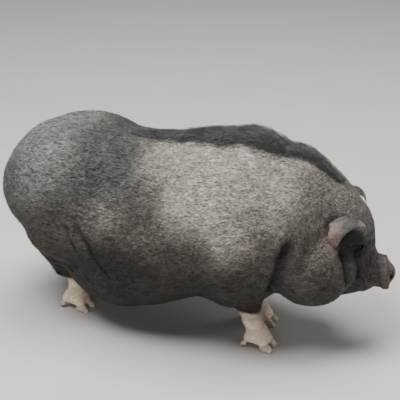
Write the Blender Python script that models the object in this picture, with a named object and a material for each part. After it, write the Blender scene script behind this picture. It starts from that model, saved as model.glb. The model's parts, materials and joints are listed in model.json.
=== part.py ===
"""A still, life-size pot-bellied pig, standing with its head low and turned a little to its left.

+X runs towards the snout, +Y to the pig's left and +Z up, in metres, with the floor at Z = 0.
The flesh is one rounded form, worked out as a distance from named sizes. It is meshed once and parted
with thin cuts into torso, neck, head, snout, legs and feet. Ears, eyes, tail and hooves are their own pieces.
"""

import math

import bmesh
import bpy
import numpy as np
from mathutils import Matrix, Vector

# Gap kept between pieces that touch, and how far a root is sunk into the flesh it grows from.
GAP = 0.0003
ROOT_DEPTH = 0.006

# Points closer than this are one. Steps used to find a place on the skin.
WELD = 0.000001
SLOPE_STEP = 0.0015
SKIN_STEPS = 6

# Grid on which the flesh is meshed, and how many triangles it keeps.
GRID_STEP = 0.007
FLESH_TRIANGLES = 5600
NEAR_STEPS = 6
SETTLE_ROUNDS = 4

# Trunk: place along the body, height of back, height of belly, half width.
TRUNK_STATIONS = (
    (-0.38, 0.531, 0.225, 0.190),
    (-0.30, 0.530, 0.090, 0.216),
    (-0.20, 0.528, 0.048, 0.240),
    (-0.07, 0.536, 0.072, 0.250),
    (0.06, 0.556, 0.128, 0.244),
    (0.17, 0.566, 0.155, 0.226),
    (0.26, 0.540, 0.165, 0.200),
)
RUMP_CAP = 0.162
NECK_CAP = 0.120
CAP_POWER = 2.3
TRUNK_WAIST = 0.44
TRUNK_UPPER_POWER = 2.0
TRUNK_LOWER_POWER = 2.35

# Head: it turns about this point on the midline, towards the pig's left.
HEAD_PIVOT = 0.243
HEAD_TURN = math.radians(12)
SNOUT_TILT = math.radians(8)
SNOUT_RADIUS = 0.047
SNOUT_TIP = 0.268
SNOUT_HEIGHT = 0.213
SNOUT_CUT = 0.241

CREASE_REACH = 0.03
CREASE_FADE = 0.25

# Legs: where each heel stands, and each ankle and joint above it.
HEELS = {
    "front_right": (0.184, -0.080),
    "front_left": (0.143, 0.040),
    "rear_right": (-0.366, -0.066),
    "rear_left": (-0.366, 0.072),
}
FRONT_ANKLE = (0.002, 0.078)
REAR_ANKLE = (0.020, 0.092)
FOOT_SPLAY = math.radians(6)

# Ears: a hood folded forwards over the eye, the left one hanging lower. Eyes, lids, lips and nostrils.
EAR_BASE = (0.145, 0.112, 0.372)
EAR_AXIS = (0.80, 0.22, 0.26)
EAR_OPENING = (0.50, -0.50, -0.72)
EAR_LENGTH = 0.078
EAR_HALF_WIDTH = 0.053
EAR_DEPTH = 0.020
EAR_TIP = 0.34
EAR_LOW_POWER = 0.85
EAR_HIGH_POWER = 3.0
EAR_THICKNESS = 0.0055
EAR_ROOT = 0.014
EAR_BEND = {-1.0: math.radians(30), 1.0: math.radians(48)}
EAR_CURL = math.radians(84)
EAR_UNCURL = math.radians(20)
EAR_TAPER = 0.35
EAR_ROWS = 7
EAR_COLUMNS = 12
EYE_PLACE = (0.200, 0.069, 0.306)
EYE_RADIUS = 0.0115
LID_RADIUS = 0.0032
LIP_RADIUS = 0.0042
LIP_LIFT = 0.84
MOUTH_OPENING = 0.0032
MOUTH_DEPTH = 0.010
MOUTH_SIDE = ((0.179, 84, 0.196), (0.188, 82, 0.190), (0.204, 74, 0.182), (0.214, 52, 0.174))
MOUTH_FRONT = (0.236, 0.0, 0.169)
MARCH_START = 0.12
MARCH_STEPS = 60
NOSTRIL = (0.018, 0.002, 0.0085, 0.0115, 0.012)

# Mane: a strip of skin along the spine that carries flat locks lying backwards.
MANE_START = -0.13
MANE_END = 0.385
MANE_HALF_WIDTH = 0.046
MANE_DEPTH = 0.012
MANE_STATIONS = 14
MANE_ROWS = (-0.72, -0.24, 0.24, 0.72)
LOCK_SPACING = 0.035
LOCK_LENGTH = 0.058
LOCK_WIDTH = 0.023
LOCK_LIFT = 0.009
LOCK_THICKNESS = 0.0055
LOCK_RINGS = 4
MANE_SEED = 7

# Tail: hanging straight, with a tassel.
TAIL_LINE = (
    (-0.520, 0.0, 0.415),
    (-0.552, 0.0, 0.392),
    (-0.566, 0.001, 0.345),
    (-0.564, 0.003, 0.290),
    (-0.556, 0.005, 0.245),
)
TAIL_RADII = (0.015, 0.0145, 0.012, 0.009, 0.006)
TAIL_LOCKS = 7
TAIL_LOCK_WIDTH = 0.009
TAIL_LOCK_LIFT = 0.003

# Cuts between pieces: how high the feet end, how far a foot reaches behind and ahead of its heel,
# each leg's slanted box (tilt, top from the heel, half size), and the planes behind the neck and head.
FOOT_HEIGHT = {"front": 0.074, "rear": 0.086}
FOOT_REACH = {"front": (0.040, 0.100), "rear": (0.050, 0.080)}
FOOT_CELL_WIDTH = 0.10
LEG_CELLS = {
    "front": (math.radians(20), (-0.018, 0.160), (0.105, 0.12, 0.09)),
    "rear": (math.radians(-26), (0.010, 0.170), (0.100, 0.12, 0.09)),
}
TORSO_CUT = ((0.150, 0.0, 0.56), (0.225, 0.0, 0.16))
NECK_CUT = ((0.050, 0.0, 0.40), (-0.003, 0.0, 0.19))
SNOUT_CELL = (0.10, 0.10, 0.062)
BEHIND = 0.8
FLESH_LOW = (-0.60, -0.32, -0.03)
FLESH_HIGH = (0.60, 0.34, 0.62)

# Creases: lines on the skin with depth and width. Head creases are in the head's own frame.
BODY_CREASES = (
    (((-0.262, 0.220, 0.345), (-0.249, 0.226, 0.313), (-0.222, 0.236, 0.279), (-0.201, 0.240, 0.244),
      (-0.178, 0.242, 0.223), (-0.146, 0.238, 0.189)), 0.011, 0.015),
    (((-0.400, 0.170, 0.240), (-0.345, 0.180, 0.186), (-0.292, 0.205, 0.192), (-0.243, 0.229, 0.219)), 0.010, 0.011),
    (((-0.405, 0.080, 0.140), (-0.355, 0.130, 0.124), (-0.300, 0.110, 0.135)), 0.006, 0.008),
    (((0.110, 0.246, 0.342), (0.108, 0.248, 0.287), (0.108, 0.234, 0.220)), 0.007, 0.022),
    (((-0.120, 0.070, 0.530), (-0.139, 0.150, 0.490), (-0.168, 0.215, 0.420), (-0.190, 0.240, 0.330)), 0.010, 0.045),
)
HEAD_CREASES = (
    (((0.041, 0.186, 0.381), (0.036, 0.193, 0.351), (0.027, 0.198, 0.322), (0.010, 0.188, 0.254),
      (0.001, 0.167, 0.217), (0.000, 0.120, 0.185)), 0.018, 0.014),
    (((0.150, 0.122, 0.335), (0.163, 0.128, 0.314), (0.174, 0.129, 0.288), (0.178, 0.130, 0.262),
      (0.183, 0.118, 0.236), (0.175, 0.112, 0.207)), 0.010, 0.010),
    (((0.193, 0.080, 0.300), (0.202, 0.068, 0.270), (0.206, 0.059, 0.229), (0.200, 0.050, 0.200)), 0.007, 0.008),
    (((0.232, 0.000, 0.285), (0.230, 0.031, 0.277), (0.229, 0.043, 0.254), (0.226, 0.051, 0.229)), 0.005, 0.007),
)

SIDES = {"right": -1.0, "left": 1.0}


# Distances


def curve_through(stations, column, x):
    """A smooth line through one column of the stations, by cubic Hermite pieces."""
    xs = np.array([s[0] for s in stations])
    ys = np.array([s[column] for s in stations])
    slopes = np.gradient(ys, xs)
    x = np.clip(x, xs[0], xs[-1])
    i = np.clip(np.searchsorted(xs, x) - 1, 0, len(xs) - 2)
    h = xs[i + 1] - xs[i]
    t = (x - xs[i]) / h
    return (
        (2 * t**3 - 3 * t**2 + 1) * ys[i]
        + (t**3 - 2 * t**2 + t) * h * slopes[i]
        + (3 * t**2 - 2 * t**3) * ys[i + 1]
        + (t**3 - t**2) * h * slopes[i + 1]
    )


def radial(q, rho):
    """Distance along the ray from the centre to the surface where rho is 1."""
    size = np.sqrt((q**2).sum(-1))
    return size * (1 - 1 / np.maximum(rho, 1e-6)) - 1e-9


def trunk(p):
    """The barrel from rump to neck, a fuller curve below its waist than above."""
    x, y, z = p[:, 0], p[:, 1], p[:, 2]
    first, last = TRUNK_STATIONS[0][0], TRUNK_STATIONS[-1][0]
    back, belly, half = (curve_through(TRUNK_STATIONS, c, x) for c in (1, 2, 3))
    waist = belly + TRUNK_WAIST * (back - belly)
    above = z > waist
    height = np.where(above, back - waist, waist - belly)
    power = np.where(above, TRUNK_UPPER_POWER, TRUNK_LOWER_POWER)
    past = np.maximum(first - x, 0) / RUMP_CAP + np.maximum(x - last, 0) / NECK_CAP
    ring = (np.abs(y) / half) ** power + (np.abs(z - waist) / height) ** power
    rho = (ring ** (CAP_POWER / power) + past**CAP_POWER) ** (1 / CAP_POWER)
    past_m = np.maximum(first - x, 0) + np.maximum(x - last, 0)
    return radial(np.stack([past_m, y, z - waist], -1), rho)


def ball(p, centre, radii):
    """An ellipsoid."""
    q = p - np.array(centre)
    return radial(q, np.sqrt(((q / np.array(radii)) ** 2).sum(-1)))


def cone(p, start, end, radius, end_radius):
    """A limb with round ends."""
    a = np.array(start)
    along = np.array(end) - a
    t = np.clip((p - a) @ along / (along @ along), 0, 1)
    return np.sqrt(((p - a - t[:, None] * along) ** 2).sum(-1)) - (
        radius + (end_radius - radius) * t
    )


def disc(p, centre, axis, radius, half_length, rounding):
    """A short round-edged cylinder."""
    q = p - np.array(centre)
    n = np.array(axis)
    along = q @ n
    across = np.sqrt(np.maximum((q**2).sum(-1) - along**2, 0))
    u = across - (radius - rounding)
    v = np.abs(along) - (half_length - rounding)
    outside = np.sqrt(np.maximum(u, 0) ** 2 + np.maximum(v, 0) ** 2)
    return outside + np.minimum(np.maximum(u, v), 0) - rounding


def joined(a, b, blend):
    """Both shapes, with a soft fillet of about the blend's size between them."""
    h = np.maximum(blend - np.abs(a - b), 0) / blend
    return np.minimum(a, b) - h * h * blend / 4


def distance_to_line(p, points):
    """Distance to a line through the points, and how far along it, from 0 to 1."""
    best = np.full(len(p), 1e9)
    place = np.zeros(len(p))
    for k in range(len(points) - 1):
        a = points[k]
        along = points[k + 1] - a
        t = np.clip((p - a) @ along / (along @ along), 0, 1)
        d = np.sqrt(((p - a - t[:, None] * along) ** 2).sum(-1))
        nearer = d < best
        best = np.where(nearer, d, best)
        place = np.where(nearer, (k + t) / (len(points) - 1), place)
    return best, place


# The pig's form


def head_to_body(local):
    """A place in the head's own frame, carried to the body's."""
    x, y, z = local
    c, s = math.cos(HEAD_TURN), math.sin(HEAD_TURN)
    return np.array((HEAD_PIVOT + x * c - y * s, x * s + y * c, z))


def body_to_head(p):
    c, s = math.cos(HEAD_TURN), math.sin(HEAD_TURN)
    x, y = p[:, 0] - HEAD_PIVOT, p[:, 1]
    return np.stack([x * c + y * s, y * c - x * s, p[:, 2]], -1)


def head_form(q):
    """Skull, face, muzzle and jaw, in the head's own frame."""
    d = ball(q, (0.090, 0, 0.352), (0.122, 0.118, 0.124))
    d = joined(d, cone(q, (0.165, 0, 0.322), (0.198, 0, 0.240), 0.074, 0.050), 0.04)
    d = joined(d, cone(q, (0.170, 0, 0.230), (0.255, 0, SNOUT_HEIGHT), 0.055, 0.042), 0.03)
    d = joined(d, cone(q, (0.10, 0, 0.188), (0.210, 0, SNOUT_HEIGHT - 0.036), 0.070, 0.024), 0.02)
    for side in SIDES.values():
        d = joined(d, ball(q, (0.135, side * 0.072, 0.255), (0.062, 0.048, 0.060)), 0.03)
        d = joined(d, ball(q, (0.170, side * 0.054, 0.338), (0.050, 0.042, 0.038)), 0.02)
    axis = (math.cos(SNOUT_TILT), 0, math.sin(SNOUT_TILT))
    return joined(
        d, disc(q, (SNOUT_TIP, 0, SNOUT_HEIGHT), axis, SNOUT_RADIUS, 0.010, 0.005), 0.010
    )


def jowls(q):
    """The hanging cheeks and double chin, in the head's own frame."""
    d = ball(q, (0.076, 0, 0.240), (0.114, 0.120, 0.085))
    for side in SIDES.values():
        d = joined(d, ball(q, (0.082, side * 0.088, 0.263), (0.108, 0.092, 0.112)), 0.05)
    return d


def leg_form(p, leg):
    """One leg, from its muscle down to the ankle."""
    front = leg.startswith("front")
    side = SIDES[leg.split("_")[1]]
    hx, hy = HEELS[leg]
    dx, ankle_z = FRONT_ANKLE if front else REAR_ANKLE
    ankle = (hx + dx, hy, ankle_z)
    if front:
        joint = (hx - 0.007, hy + side * 0.014, 0.146)
        d = cone(p, (0.176, side * 0.138, 0.252), joint, 0.082, 0.041)
        return joined(d, cone(p, joint, ankle, 0.041, 0.0245), 0.012)
    joint = (hx + 0.012, hy + side * 0.014, 0.148)
    d = cone(p, (-0.338, side * 0.115, 0.270), joint, 0.113, 0.052)
    return joined(d, cone(p, joint, ankle, 0.048, 0.019), 0.012)


def foot_to_body(leg, local):
    """A place in a foot's own frame, carried to the body's."""
    turn = FOOT_SPLAY * SIDES[leg.split("_")[1]]
    c, s = math.cos(turn), math.sin(turn)
    u, v, z = local
    x, y = HEELS[leg]
    return np.array((x + u * c - v * s, y + u * s + v * c, z))


def foot_form(p, leg):
    """Pastern and the flesh of two toes and two dewclaws, pointing forwards."""

    def limb(start, end, radius, end_radius):
        return cone(p, foot_to_body(leg, start), foot_to_body(leg, end), radius, end_radius)

    if leg.startswith("front"):
        d = limb((FRONT_ANKLE[0], 0, FRONT_ANKLE[1]), (0.024, 0, 0.042), 0.0245, 0.0265)
    else:
        d = limb((REAR_ANKLE[0], 0, REAR_ANKLE[1]), (0.026, 0, 0.042), 0.0195, 0.0250)
    for toe in (-1, 1):
        d = joined(
            d, limb((0.024, toe * 0.012, 0.034), (0.044, toe * 0.0135, 0.022), 0.0180, 0.0145), 0.016
        )
        d = joined(
            d, limb((0.007, toe * 0.013, 0.036), (-0.002, toe * 0.0165, 0.027), 0.0140, 0.0110), 0.022
        )
    return d


def flesh(p):
    """Signed distance of all the flesh, negative inside."""
    q = body_to_head(p)
    body = trunk(p)
    for side in SIDES.values():
        body = joined(body, ball(p, (-0.341, side * 0.095, 0.374), (0.184, 0.122, 0.154)), 0.03)
        body = joined(body, ball(p, (0.152, side * 0.125, 0.296), (0.114, 0.115, 0.158)), 0.05)
    body = joined(body, head_form(q), 0.06)
    body = joined(body, jowls(q), 0.018)
    for leg in HEELS:
        body = joined(body, leg_form(p, leg), 0.022)
        body = joined(body, foot_form(p, leg), 0.010)
    near = np.abs(body) < CREASE_REACH
    for place, lines in ((p[near], BODY_CREASES), (q[near], HEAD_CREASES)):
        mirrored = np.abs(place * (0, 1, 0)) + place * (1, 0, 1)
        for points, depth, width in lines:
            away, along = distance_to_line(mirrored, np.array(points))
            ends = np.clip(np.minimum(along, 1 - along) / CREASE_FADE, 0.25, 1)
            body[near] += ends * depth * np.exp(-((away / width) ** 2))
    return body


# Meshing


def settled(value):
    """Turns the weakest corner of each grid face whose corners alternate, so the surface can't meet itself."""
    for _ in range(SETTLE_ROUNDS):
        for first, second in ((0, 1), (0, 2), (1, 2)):
            view = np.moveaxis(value, (first, second), (0, 1))
            inside = view < 0
            a, b, c, d = inside[:-1, :-1], inside[1:, :-1], inside[1:, 1:], inside[:-1, 1:]
            for i, j, k in zip(*np.nonzero((a == c) & (b == d) & (a != b))):
                corners = [(i, j, k), (i + 1, j, k), (i + 1, j + 1, k), (i, j + 1, k)]
                weakest = min(corners, key=lambda at: abs(view[at]))
                view[weakest] = -view[weakest]
    return value


def surface_of(form, low, high, step):
    """The surface where form is 0, one point in each grid cell that it crosses, as (points, quads)."""
    axes = [np.arange(low[k], high[k] + step, step) for k in range(3)]
    shape = tuple(len(a) for a in axes)
    grid = np.stack(np.meshgrid(*axes, indexing="ij"), -1).reshape(-1, 3)
    coarse = form(grid.reshape(*shape, 3)[::2, ::2, ::2].reshape(-1, 3))
    coarse = coarse.reshape([(n + 1) // 2 for n in shape])
    value = coarse.repeat(2, 0).repeat(2, 1).repeat(2, 2)[: shape[0], : shape[1], : shape[2]].ravel()
    near = np.abs(value) < NEAR_STEPS * step
    value[near] = form(grid[near])
    value = settled(value.reshape(shape))
    grid = grid.reshape(*shape, 3)
    cells = tuple(n - 1 for n in shape)
    total = np.zeros((*cells, 3))
    count = np.zeros(cells)

    def corner(array, i, j, k):
        return array[i : i + cells[0], j : j + cells[1], k : k + cells[2]]

    corners = [(i, j, k) for i in (0, 1) for j in (0, 1) for k in (0, 1)]
    for a in corners:
        for b in corners:
            if sum(b) - sum(a) != 1 or sum(abs(m - n) for m, n in zip(a, b)) != 1:
                continue
            va, vb = corner(value, *a), corner(value, *b)
            crossed = (va < 0) != (vb < 0)
            share = np.where(crossed, va / np.where(crossed, va - vb, 1), 0)[..., None]
            at = corner(grid, *a) * (1 - share) + corner(grid, *b) * share
            total += np.where(crossed[..., None], at, 0)
            count += crossed
    used = count > 0
    index = np.full(cells, -1)
    index[used] = np.arange(used.sum())
    points = total[used] / count[used][:, None]

    quads = []
    inside = value < 0
    for axis in range(3):
        first, second = [a for a in range(3) if a != axis]
        here = np.moveaxis(inside, (axis, first, second), (0, 1, 2))
        cell = np.moveaxis(index, (axis, first, second), (0, 1, 2))
        change = here[:-1, 1:-1, 1:-1] != here[1:, 1:-1, 1:-1]
        i, j, k = np.nonzero(change)
        ring = [cell[i, j, k], cell[i, j + 1, k], cell[i, j + 1, k + 1], cell[i, j, k + 1]]
        outward = here[:-1, 1:-1, 1:-1][i, j, k]
        if axis == 1:
            outward = ~outward
        quad = np.stack(ring, -1)
        quads.append(np.where(outward[:, None], quad, quad[:, ::-1]))
    return points, np.concatenate(quads)


def mesh_object(name, points, faces):
    mesh = bpy.data.meshes.new(name)
    mesh.from_pydata([tuple(map(float, p)) for p in points], [], [tuple(map(int, f)) for f in faces])
    mesh.update()
    obj = bpy.data.objects.new(name, mesh)
    bpy.context.scene.collection.objects.link(obj)
    return obj


def facing_out(obj):
    """Turns the faces of a closed piece outwards."""
    bm = bmesh.new()
    bm.from_mesh(obj.data)
    bmesh.ops.recalc_face_normals(bm, faces=bm.faces)
    if bm.calc_volume(signed=True) < 0:
        bmesh.ops.reverse_faces(bm, faces=bm.faces)
    bm.to_mesh(obj.data)
    bm.free()
    return obj


def loft(name, rings):
    """A closed solid through rings of points, with a fan at each end."""
    n = len(rings[0])
    points = [p for ring in rings for p in ring]
    faces = []
    for k in range(len(rings) - 1):
        for i in range(n):
            j = (i + 1) % n
            a, b = k * n + i, k * n + j
            faces.append((a, b, b + n))
            faces.append((a, b + n, a + n))
    for k, ring in ((0, rings[0]), (len(rings) - 1, rings[-1])):
        centre = len(points)
        points.append(np.mean(np.array(ring), 0))
        for i in range(n):
            faces.append((k * n + i, k * n + (i + 1) % n, centre))
    return facing_out(mesh_object(name, points, faces))


def unit(v):
    v = np.array(v, float)
    return v / np.sqrt(v @ v)


def tube(name, line, radii, sides=8, flat=1.0):
    """A bent round bar through the points of a line."""
    line = np.array(line, float)
    rings = []
    across = None
    for k, point in enumerate(line):
        along = unit(line[min(k + 1, len(line) - 1)] - line[max(k - 1, 0)])
        if across is None:
            across = unit(np.cross(along, (0.3, 0.8, 0.5)))
        across = unit(across - (across @ along) * along)
        other = np.cross(along, across)
        turn = [2 * math.pi * i / sides for i in range(sides)]
        rings.append([point + radii[k] * (math.cos(t) * across + flat * math.sin(t) * other) for t in turn])
    return loft(name, rings)


def block(name, centre, half, turn=None, grow=0.0):
    """A box, turned by a matrix whose columns are its axes."""
    axes = np.eye(3) if turn is None else np.array(turn)
    corners = [
        np.array(centre) + axes @ (np.array((i, j, k)) * (np.array(half) + grow))
        for i in (-1, 1)
        for j in (-1, 1)
        for k in (-1, 1)
    ]
    faces = [(0, 1, 3, 2), (4, 6, 7, 5), (0, 4, 5, 1), (2, 3, 7, 6), (0, 2, 6, 4), (1, 5, 7, 3)]
    return facing_out(mesh_object(name, corners, faces))


def apply(obj):
    """Keeps the result of an object's modifiers as its mesh."""
    graph = bpy.context.evaluated_depsgraph_get()
    mesh = bpy.data.meshes.new_from_object(obj.evaluated_get(graph))
    obj.modifiers.clear()
    obj.data = mesh
    return obj


def remove(obj):
    bpy.data.objects.remove(obj)


def largest(obj):
    """Leaves only the largest closed surface of a piece."""
    bm = bmesh.new()
    bm.from_mesh(obj.data)
    bmesh.ops.remove_doubles(bm, verts=bm.verts, dist=WELD)
    bmesh.ops.dissolve_degenerate(bm, edges=bm.edges, dist=WELD)
    bmesh.ops.triangulate(bm, faces=bm.faces)
    unseen = set(bm.faces)
    groups = []
    while unseen:
        stack = [unseen.pop()]
        group = list(stack)
        while stack:
            for edge in stack.pop().edges:
                for face in edge.link_faces:
                    if face in unseen:
                        unseen.remove(face)
                        stack.append(face)
                        group.append(face)
        groups.append(group)
    groups.sort(key=len, reverse=True)
    bmesh.ops.delete(bm, geom=[f for g in groups[1:] for f in g], context="FACES")
    bm.to_mesh(obj.data)
    bm.free()
    return obj


def combine(obj, cutter, operation, solver="MANIFOLD"):
    cut = obj.modifiers.new("cut", "BOOLEAN")
    cut.operation = operation
    cut.solver = solver
    cut.object = cutter
    return largest(apply(obj))


def copy_of(obj, name):
    other = obj.copy()
    other.data = obj.data.copy()
    other.name = name
    bpy.context.scene.collection.objects.link(other)
    return other


def parted(whole, name, make_cutter):
    """Takes the part of the whole inside a cutter away as a piece of its own, with a gap."""
    piece = copy_of(whole, name)
    cutter = make_cutter(0.0)
    combine(piece, cutter, "INTERSECT")
    remove(cutter)
    cutter = make_cutter(GAP)
    combine(whole, cutter, "DIFFERENCE")
    remove(cutter)
    return piece


def swollen(obj, name, grow):
    """A copy of a piece grown by a little along its normals."""
    other = copy_of(obj, name)
    bm = bmesh.new()
    bm.from_mesh(other.data)
    bm.normal_update()
    for v in bm.verts:
        sharp = max(0.5, min(v.normal.dot(f.normal) for f in v.link_faces))
        v.co += v.normal * grow / sharp
    bm.to_mesh(other.data)
    bm.free()
    return other


def set_into(flesh_piece, piece):
    """Cuts a socket for one piece into another, with a gap."""
    cutter = swollen(piece, "socket", GAP)
    combine(flesh_piece, cutter, "DIFFERENCE")
    remove(cutter)


def fused(obj, parts):
    """One Boolean union of a piece with a collection of closed parts."""
    group = bpy.data.collections.new("fused")
    bpy.context.scene.collection.children.link(group)
    for part in parts:
        bpy.context.scene.collection.objects.unlink(part)
        group.objects.link(part)
    union = obj.modifiers.new("union", "BOOLEAN")
    union.operation = "UNION"
    union.solver = "MANIFOLD"
    union.operand_type = "COLLECTION"
    union.collection = group
    apply(obj)
    for part in parts:
        remove(part)
    bpy.data.collections.remove(group)
    return largest(obj)


# Places on the skin


def slope(point):
    """Outward direction of the flesh near a place."""
    steps = np.eye(3) * SLOPE_STEP
    ahead = flesh(np.array(point) + steps)
    behind = flesh(np.array(point) - steps)
    return unit(ahead - behind)


def on_skin(point):
    """The nearest place on the skin, and the outward direction there."""
    point = np.array(point, float)
    for _ in range(SKIN_STEPS):
        out = slope(point)
        point = point - out * flesh(point[None])[0]
    return point, slope(point)


def head_place(local, side):
    x, y, z = local
    return head_to_body((x, side * y, z))


def head_direction(local, side):
    return head_place(local, side) - head_place((0, 0, 0), side)


# Pieces


def ear(side):
    """A hood-shaped leaf folded forwards, its hollow side down and its lower margin cut back."""
    along = unit(head_direction(EAR_AXIS, side))
    opening = head_direction(EAR_OPENING, side)
    opening = unit(opening - (opening @ along) * along)
    width = np.cross(opening, along)
    width = width if width[2] > 0 else -width
    base = head_place(EAR_BASE, side) - opening * EAR_DEPTH
    outer, inner = [], []
    for i in range(EAR_ROWS + 1):
        t = i / EAR_ROWS
        reach = -EAR_ROOT + (EAR_LENGTH + EAR_ROOT) * t
        share = max(reach, 0) / EAR_LENGTH
        bend = EAR_BEND[side] * share**2
        middle = base + along * reach * math.cos(bend) + opening * reach * math.sin(bend)
        open_way = unit(opening * math.cos(bend) - along * math.sin(bend))
        tip = EAR_HALF_WIDTH * EAR_TIP
        low = -EAR_HALF_WIDTH + (EAR_HALF_WIDTH + tip) * share**EAR_LOW_POWER
        high = EAR_HALF_WIDTH - (EAR_HALF_WIDTH - tip) * share**EAR_HIGH_POWER
        high = max(high, low + 0.10 * EAR_HALF_WIDTH)
        curl = EAR_CURL - EAR_UNCURL * share
        radius = EAR_HALF_WIDTH / curl * (1 - EAR_TAPER * share**2)
        for sheet, store in ((0.0, inner), (1.0, outer)):
            thick = EAR_THICKNESS * (1 - EAR_TAPER * share)
            row = []
            for j in range(EAR_COLUMNS + 1):
                v = (low + (high - low) * j / EAR_COLUMNS) / radius
                r = radius + sheet * thick
                row.append(middle + r * (math.sin(v) * width - math.cos(v) * open_way) + radius * open_way)
            store.append(row)
    n = EAR_COLUMNS + 1
    points = [p for row in inner for p in row] + [p for row in outer for p in row]
    lift = len(inner) * n
    faces = []
    for i in range(EAR_ROWS):
        for j in range(EAR_COLUMNS):
            a, b, c, d = i * n + j, i * n + j + 1, (i + 1) * n + j + 1, (i + 1) * n + j
            faces += [(a, b, c), (a, c, d)]
            faces += [(a + lift, c + lift, b + lift), (a + lift, d + lift, c + lift)]
    edge = [i * n for i in range(EAR_ROWS + 1)]
    edge += [EAR_ROWS * n + j for j in range(1, n)]
    edge += [i * n + n - 1 for i in range(EAR_ROWS - 1, -1, -1)]
    edge += [j for j in range(n - 2, 0, -1)]
    for k, a in enumerate(edge):
        b = edge[(k + 1) % len(edge)]
        faces += [(a, b, b + lift), (a, b + lift, a + lift)]
    name = "ear_left" if side > 0 else "ear_right"
    return facing_out(mesh_object(name, points, faces))


def eye_frame(side):
    place, out = on_skin(head_place(EYE_PLACE, side))
    centre = place - out * EYE_RADIUS * 0.62
    forward = unit(head_direction((1, 0.25, -0.1), side))
    forward = unit(forward - (forward @ out) * out)
    up = np.cross(out, forward)
    up = up if up[2] > 0 else -up
    return centre, out, forward, up


def eye(side):
    centre, out, forward, up = eye_frame(side)
    bm = bmesh.new()
    bmesh.ops.create_icosphere(bm, subdivisions=2, radius=EYE_RADIUS)
    mesh = bpy.data.meshes.new("eye")
    bm.to_mesh(mesh)
    bm.free()
    obj = bpy.data.objects.new("eye_left" if side > 0 else "eye_right", mesh)
    mesh.transform(Matrix.Translation(Vector(centre)))
    bpy.context.scene.collection.objects.link(obj)
    return obj


def lids(side):
    """An upper and a lower lid, bent over the eyeball from corner to corner."""
    centre, out, forward, up = eye_frame(side)
    made = []
    for name, lift, fat in (("upper", 0.62, 1.25), ("lower", -0.40, 1.0)):
        line, radii = [], []
        for k in range(9):
            a = math.pi * k / 8
            across = math.cos(a) * 1.05
            way = unit(forward * across + up * lift * math.sin(a) + out * 0.62 * math.sin(a) + out * 0.35)
            line.append(centre + way * (EYE_RADIUS + 0.0012))
            radii.append(LID_RADIUS * fat * (0.7 + 0.3 * math.sin(a)))
        made.append(tube(name + "_lid", line, radii, 6))
    return made


def first_skin(origin, out):
    """The first skin met coming in from outside along a direction."""
    distances = np.linspace(MARCH_START, 0, MARCH_STEPS)
    depths = flesh(origin + distances[:, None] * out)
    met = np.argmax(depths < 0)
    share = depths[met - 1] / (depths[met - 1] - depths[met])
    return origin + (distances[met - 1] + (distances[met] - distances[met - 1]) * share) * out


def mouth_line():
    """Places on the skin along the line of the mouth, from the right corner round to the left."""
    line = []
    for side in (-1, 1):
        half = []
        for x, angle, z in MOUTH_SIDE:
            angle = math.radians(angle)
            out = head_direction((math.cos(angle), math.sin(angle), 0), side)
            half.append((first_skin(head_place((x, 0, z), side), out), out))
        line += half if side < 0 else half[::-1]
    line.insert(len(MOUTH_SIDE), (head_place(MOUTH_FRONT, 1), head_direction((1, 0, 0), 1)))
    return line


def mouth_slot():
    """A thin horseshoe that cuts the opening between the lips."""
    half = MOUTH_OPENING / 2
    rings = []
    for point, out in mouth_line():
        deep, proud = point - out * MOUTH_DEPTH, point + out * 0.012
        up = np.array((0, 0, half))
        rings.append([deep - up, proud - up, proud + up, deep + up])
    return loft("mouth_slot", rings)


def lips():
    """A soft rim above and below the opening."""
    made = []
    for name, lift in (("upper_lip", 1), ("lower_lip", -1)):
        line = [
            point + np.array((0, 0, lift * (MOUTH_OPENING / 2 + LIP_RADIUS * 0.98))) - out * LIP_RADIUS * 0.35
            for point, out in mouth_line()
        ]
        radii = [LIP_RADIUS * (0.75 if k in (0, len(line) - 1) else 1.0) for k in range(len(line))]
        made.append(tube(name, line, radii, 6))
    return made


def nostrils():
    made = []
    across, lift, half_width, half_height, deep = NOSTRIL
    for side in SIDES.values():
        rings = []
        for u in (-deep, deep):
            ring = []
            for k in range(10):
                a = 2 * math.pi * k / 10
                y = across + half_width * math.cos(a)
                z = SNOUT_HEIGHT + lift + half_height * math.sin(a) + u * math.sin(SNOUT_TILT)
                ring.append(head_place((SNOUT_TIP + 0.010 + u, y, z), side))
            rings.append(ring)
        made.append(loft("nostril", rings))
    return made


def hoof(leg, toe, main):
    """One claw: a flat sole on the floor, a sloping wall and a rounded tip."""
    if main:
        stations = ((0.036, 0.0105, 0.029), (0.046, 0.0118, 0.027), (0.056, 0.0115, 0.021),
                    (0.065, 0.0095, 0.0135), (0.0715, 0.0055, 0.0065))
        middle, flare, foot_level = 0.0150, 0.0025, 0.0
    else:
        stations = ((-0.002, 0.0072, 0.027), (-0.008, 0.0078, 0.0235), (-0.014, 0.0065, 0.0180), (-0.018, 0.0035, 0.0130))
        middle, flare, foot_level = 0.0195, 0.0030, 0.006
    rings = []
    first, last = stations[0][0], stations[-1][0]
    for u, half, top in stations:
        v0 = toe * (middle + flare * (u - first) / (last - first))
        h = top - foot_level
        shape = ((-0.90, 0), (0.90, 0), (1.0, 0.22), (0.92, 0.62), (0.5, 1.0), (-0.5, 1.0), (-0.92, 0.62), (-1.0, 0.22))
        rings.append([foot_to_body(leg, (u, v0 + half * a, foot_level + h * b)) for a, b in shape])
    kind = "hoof" if main else "dewclaw"
    place = "outer" if toe * SIDES[leg.split("_")[1]] > 0 else "inner"
    return loft(f"{kind}_{leg}_{place}", rings)


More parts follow.
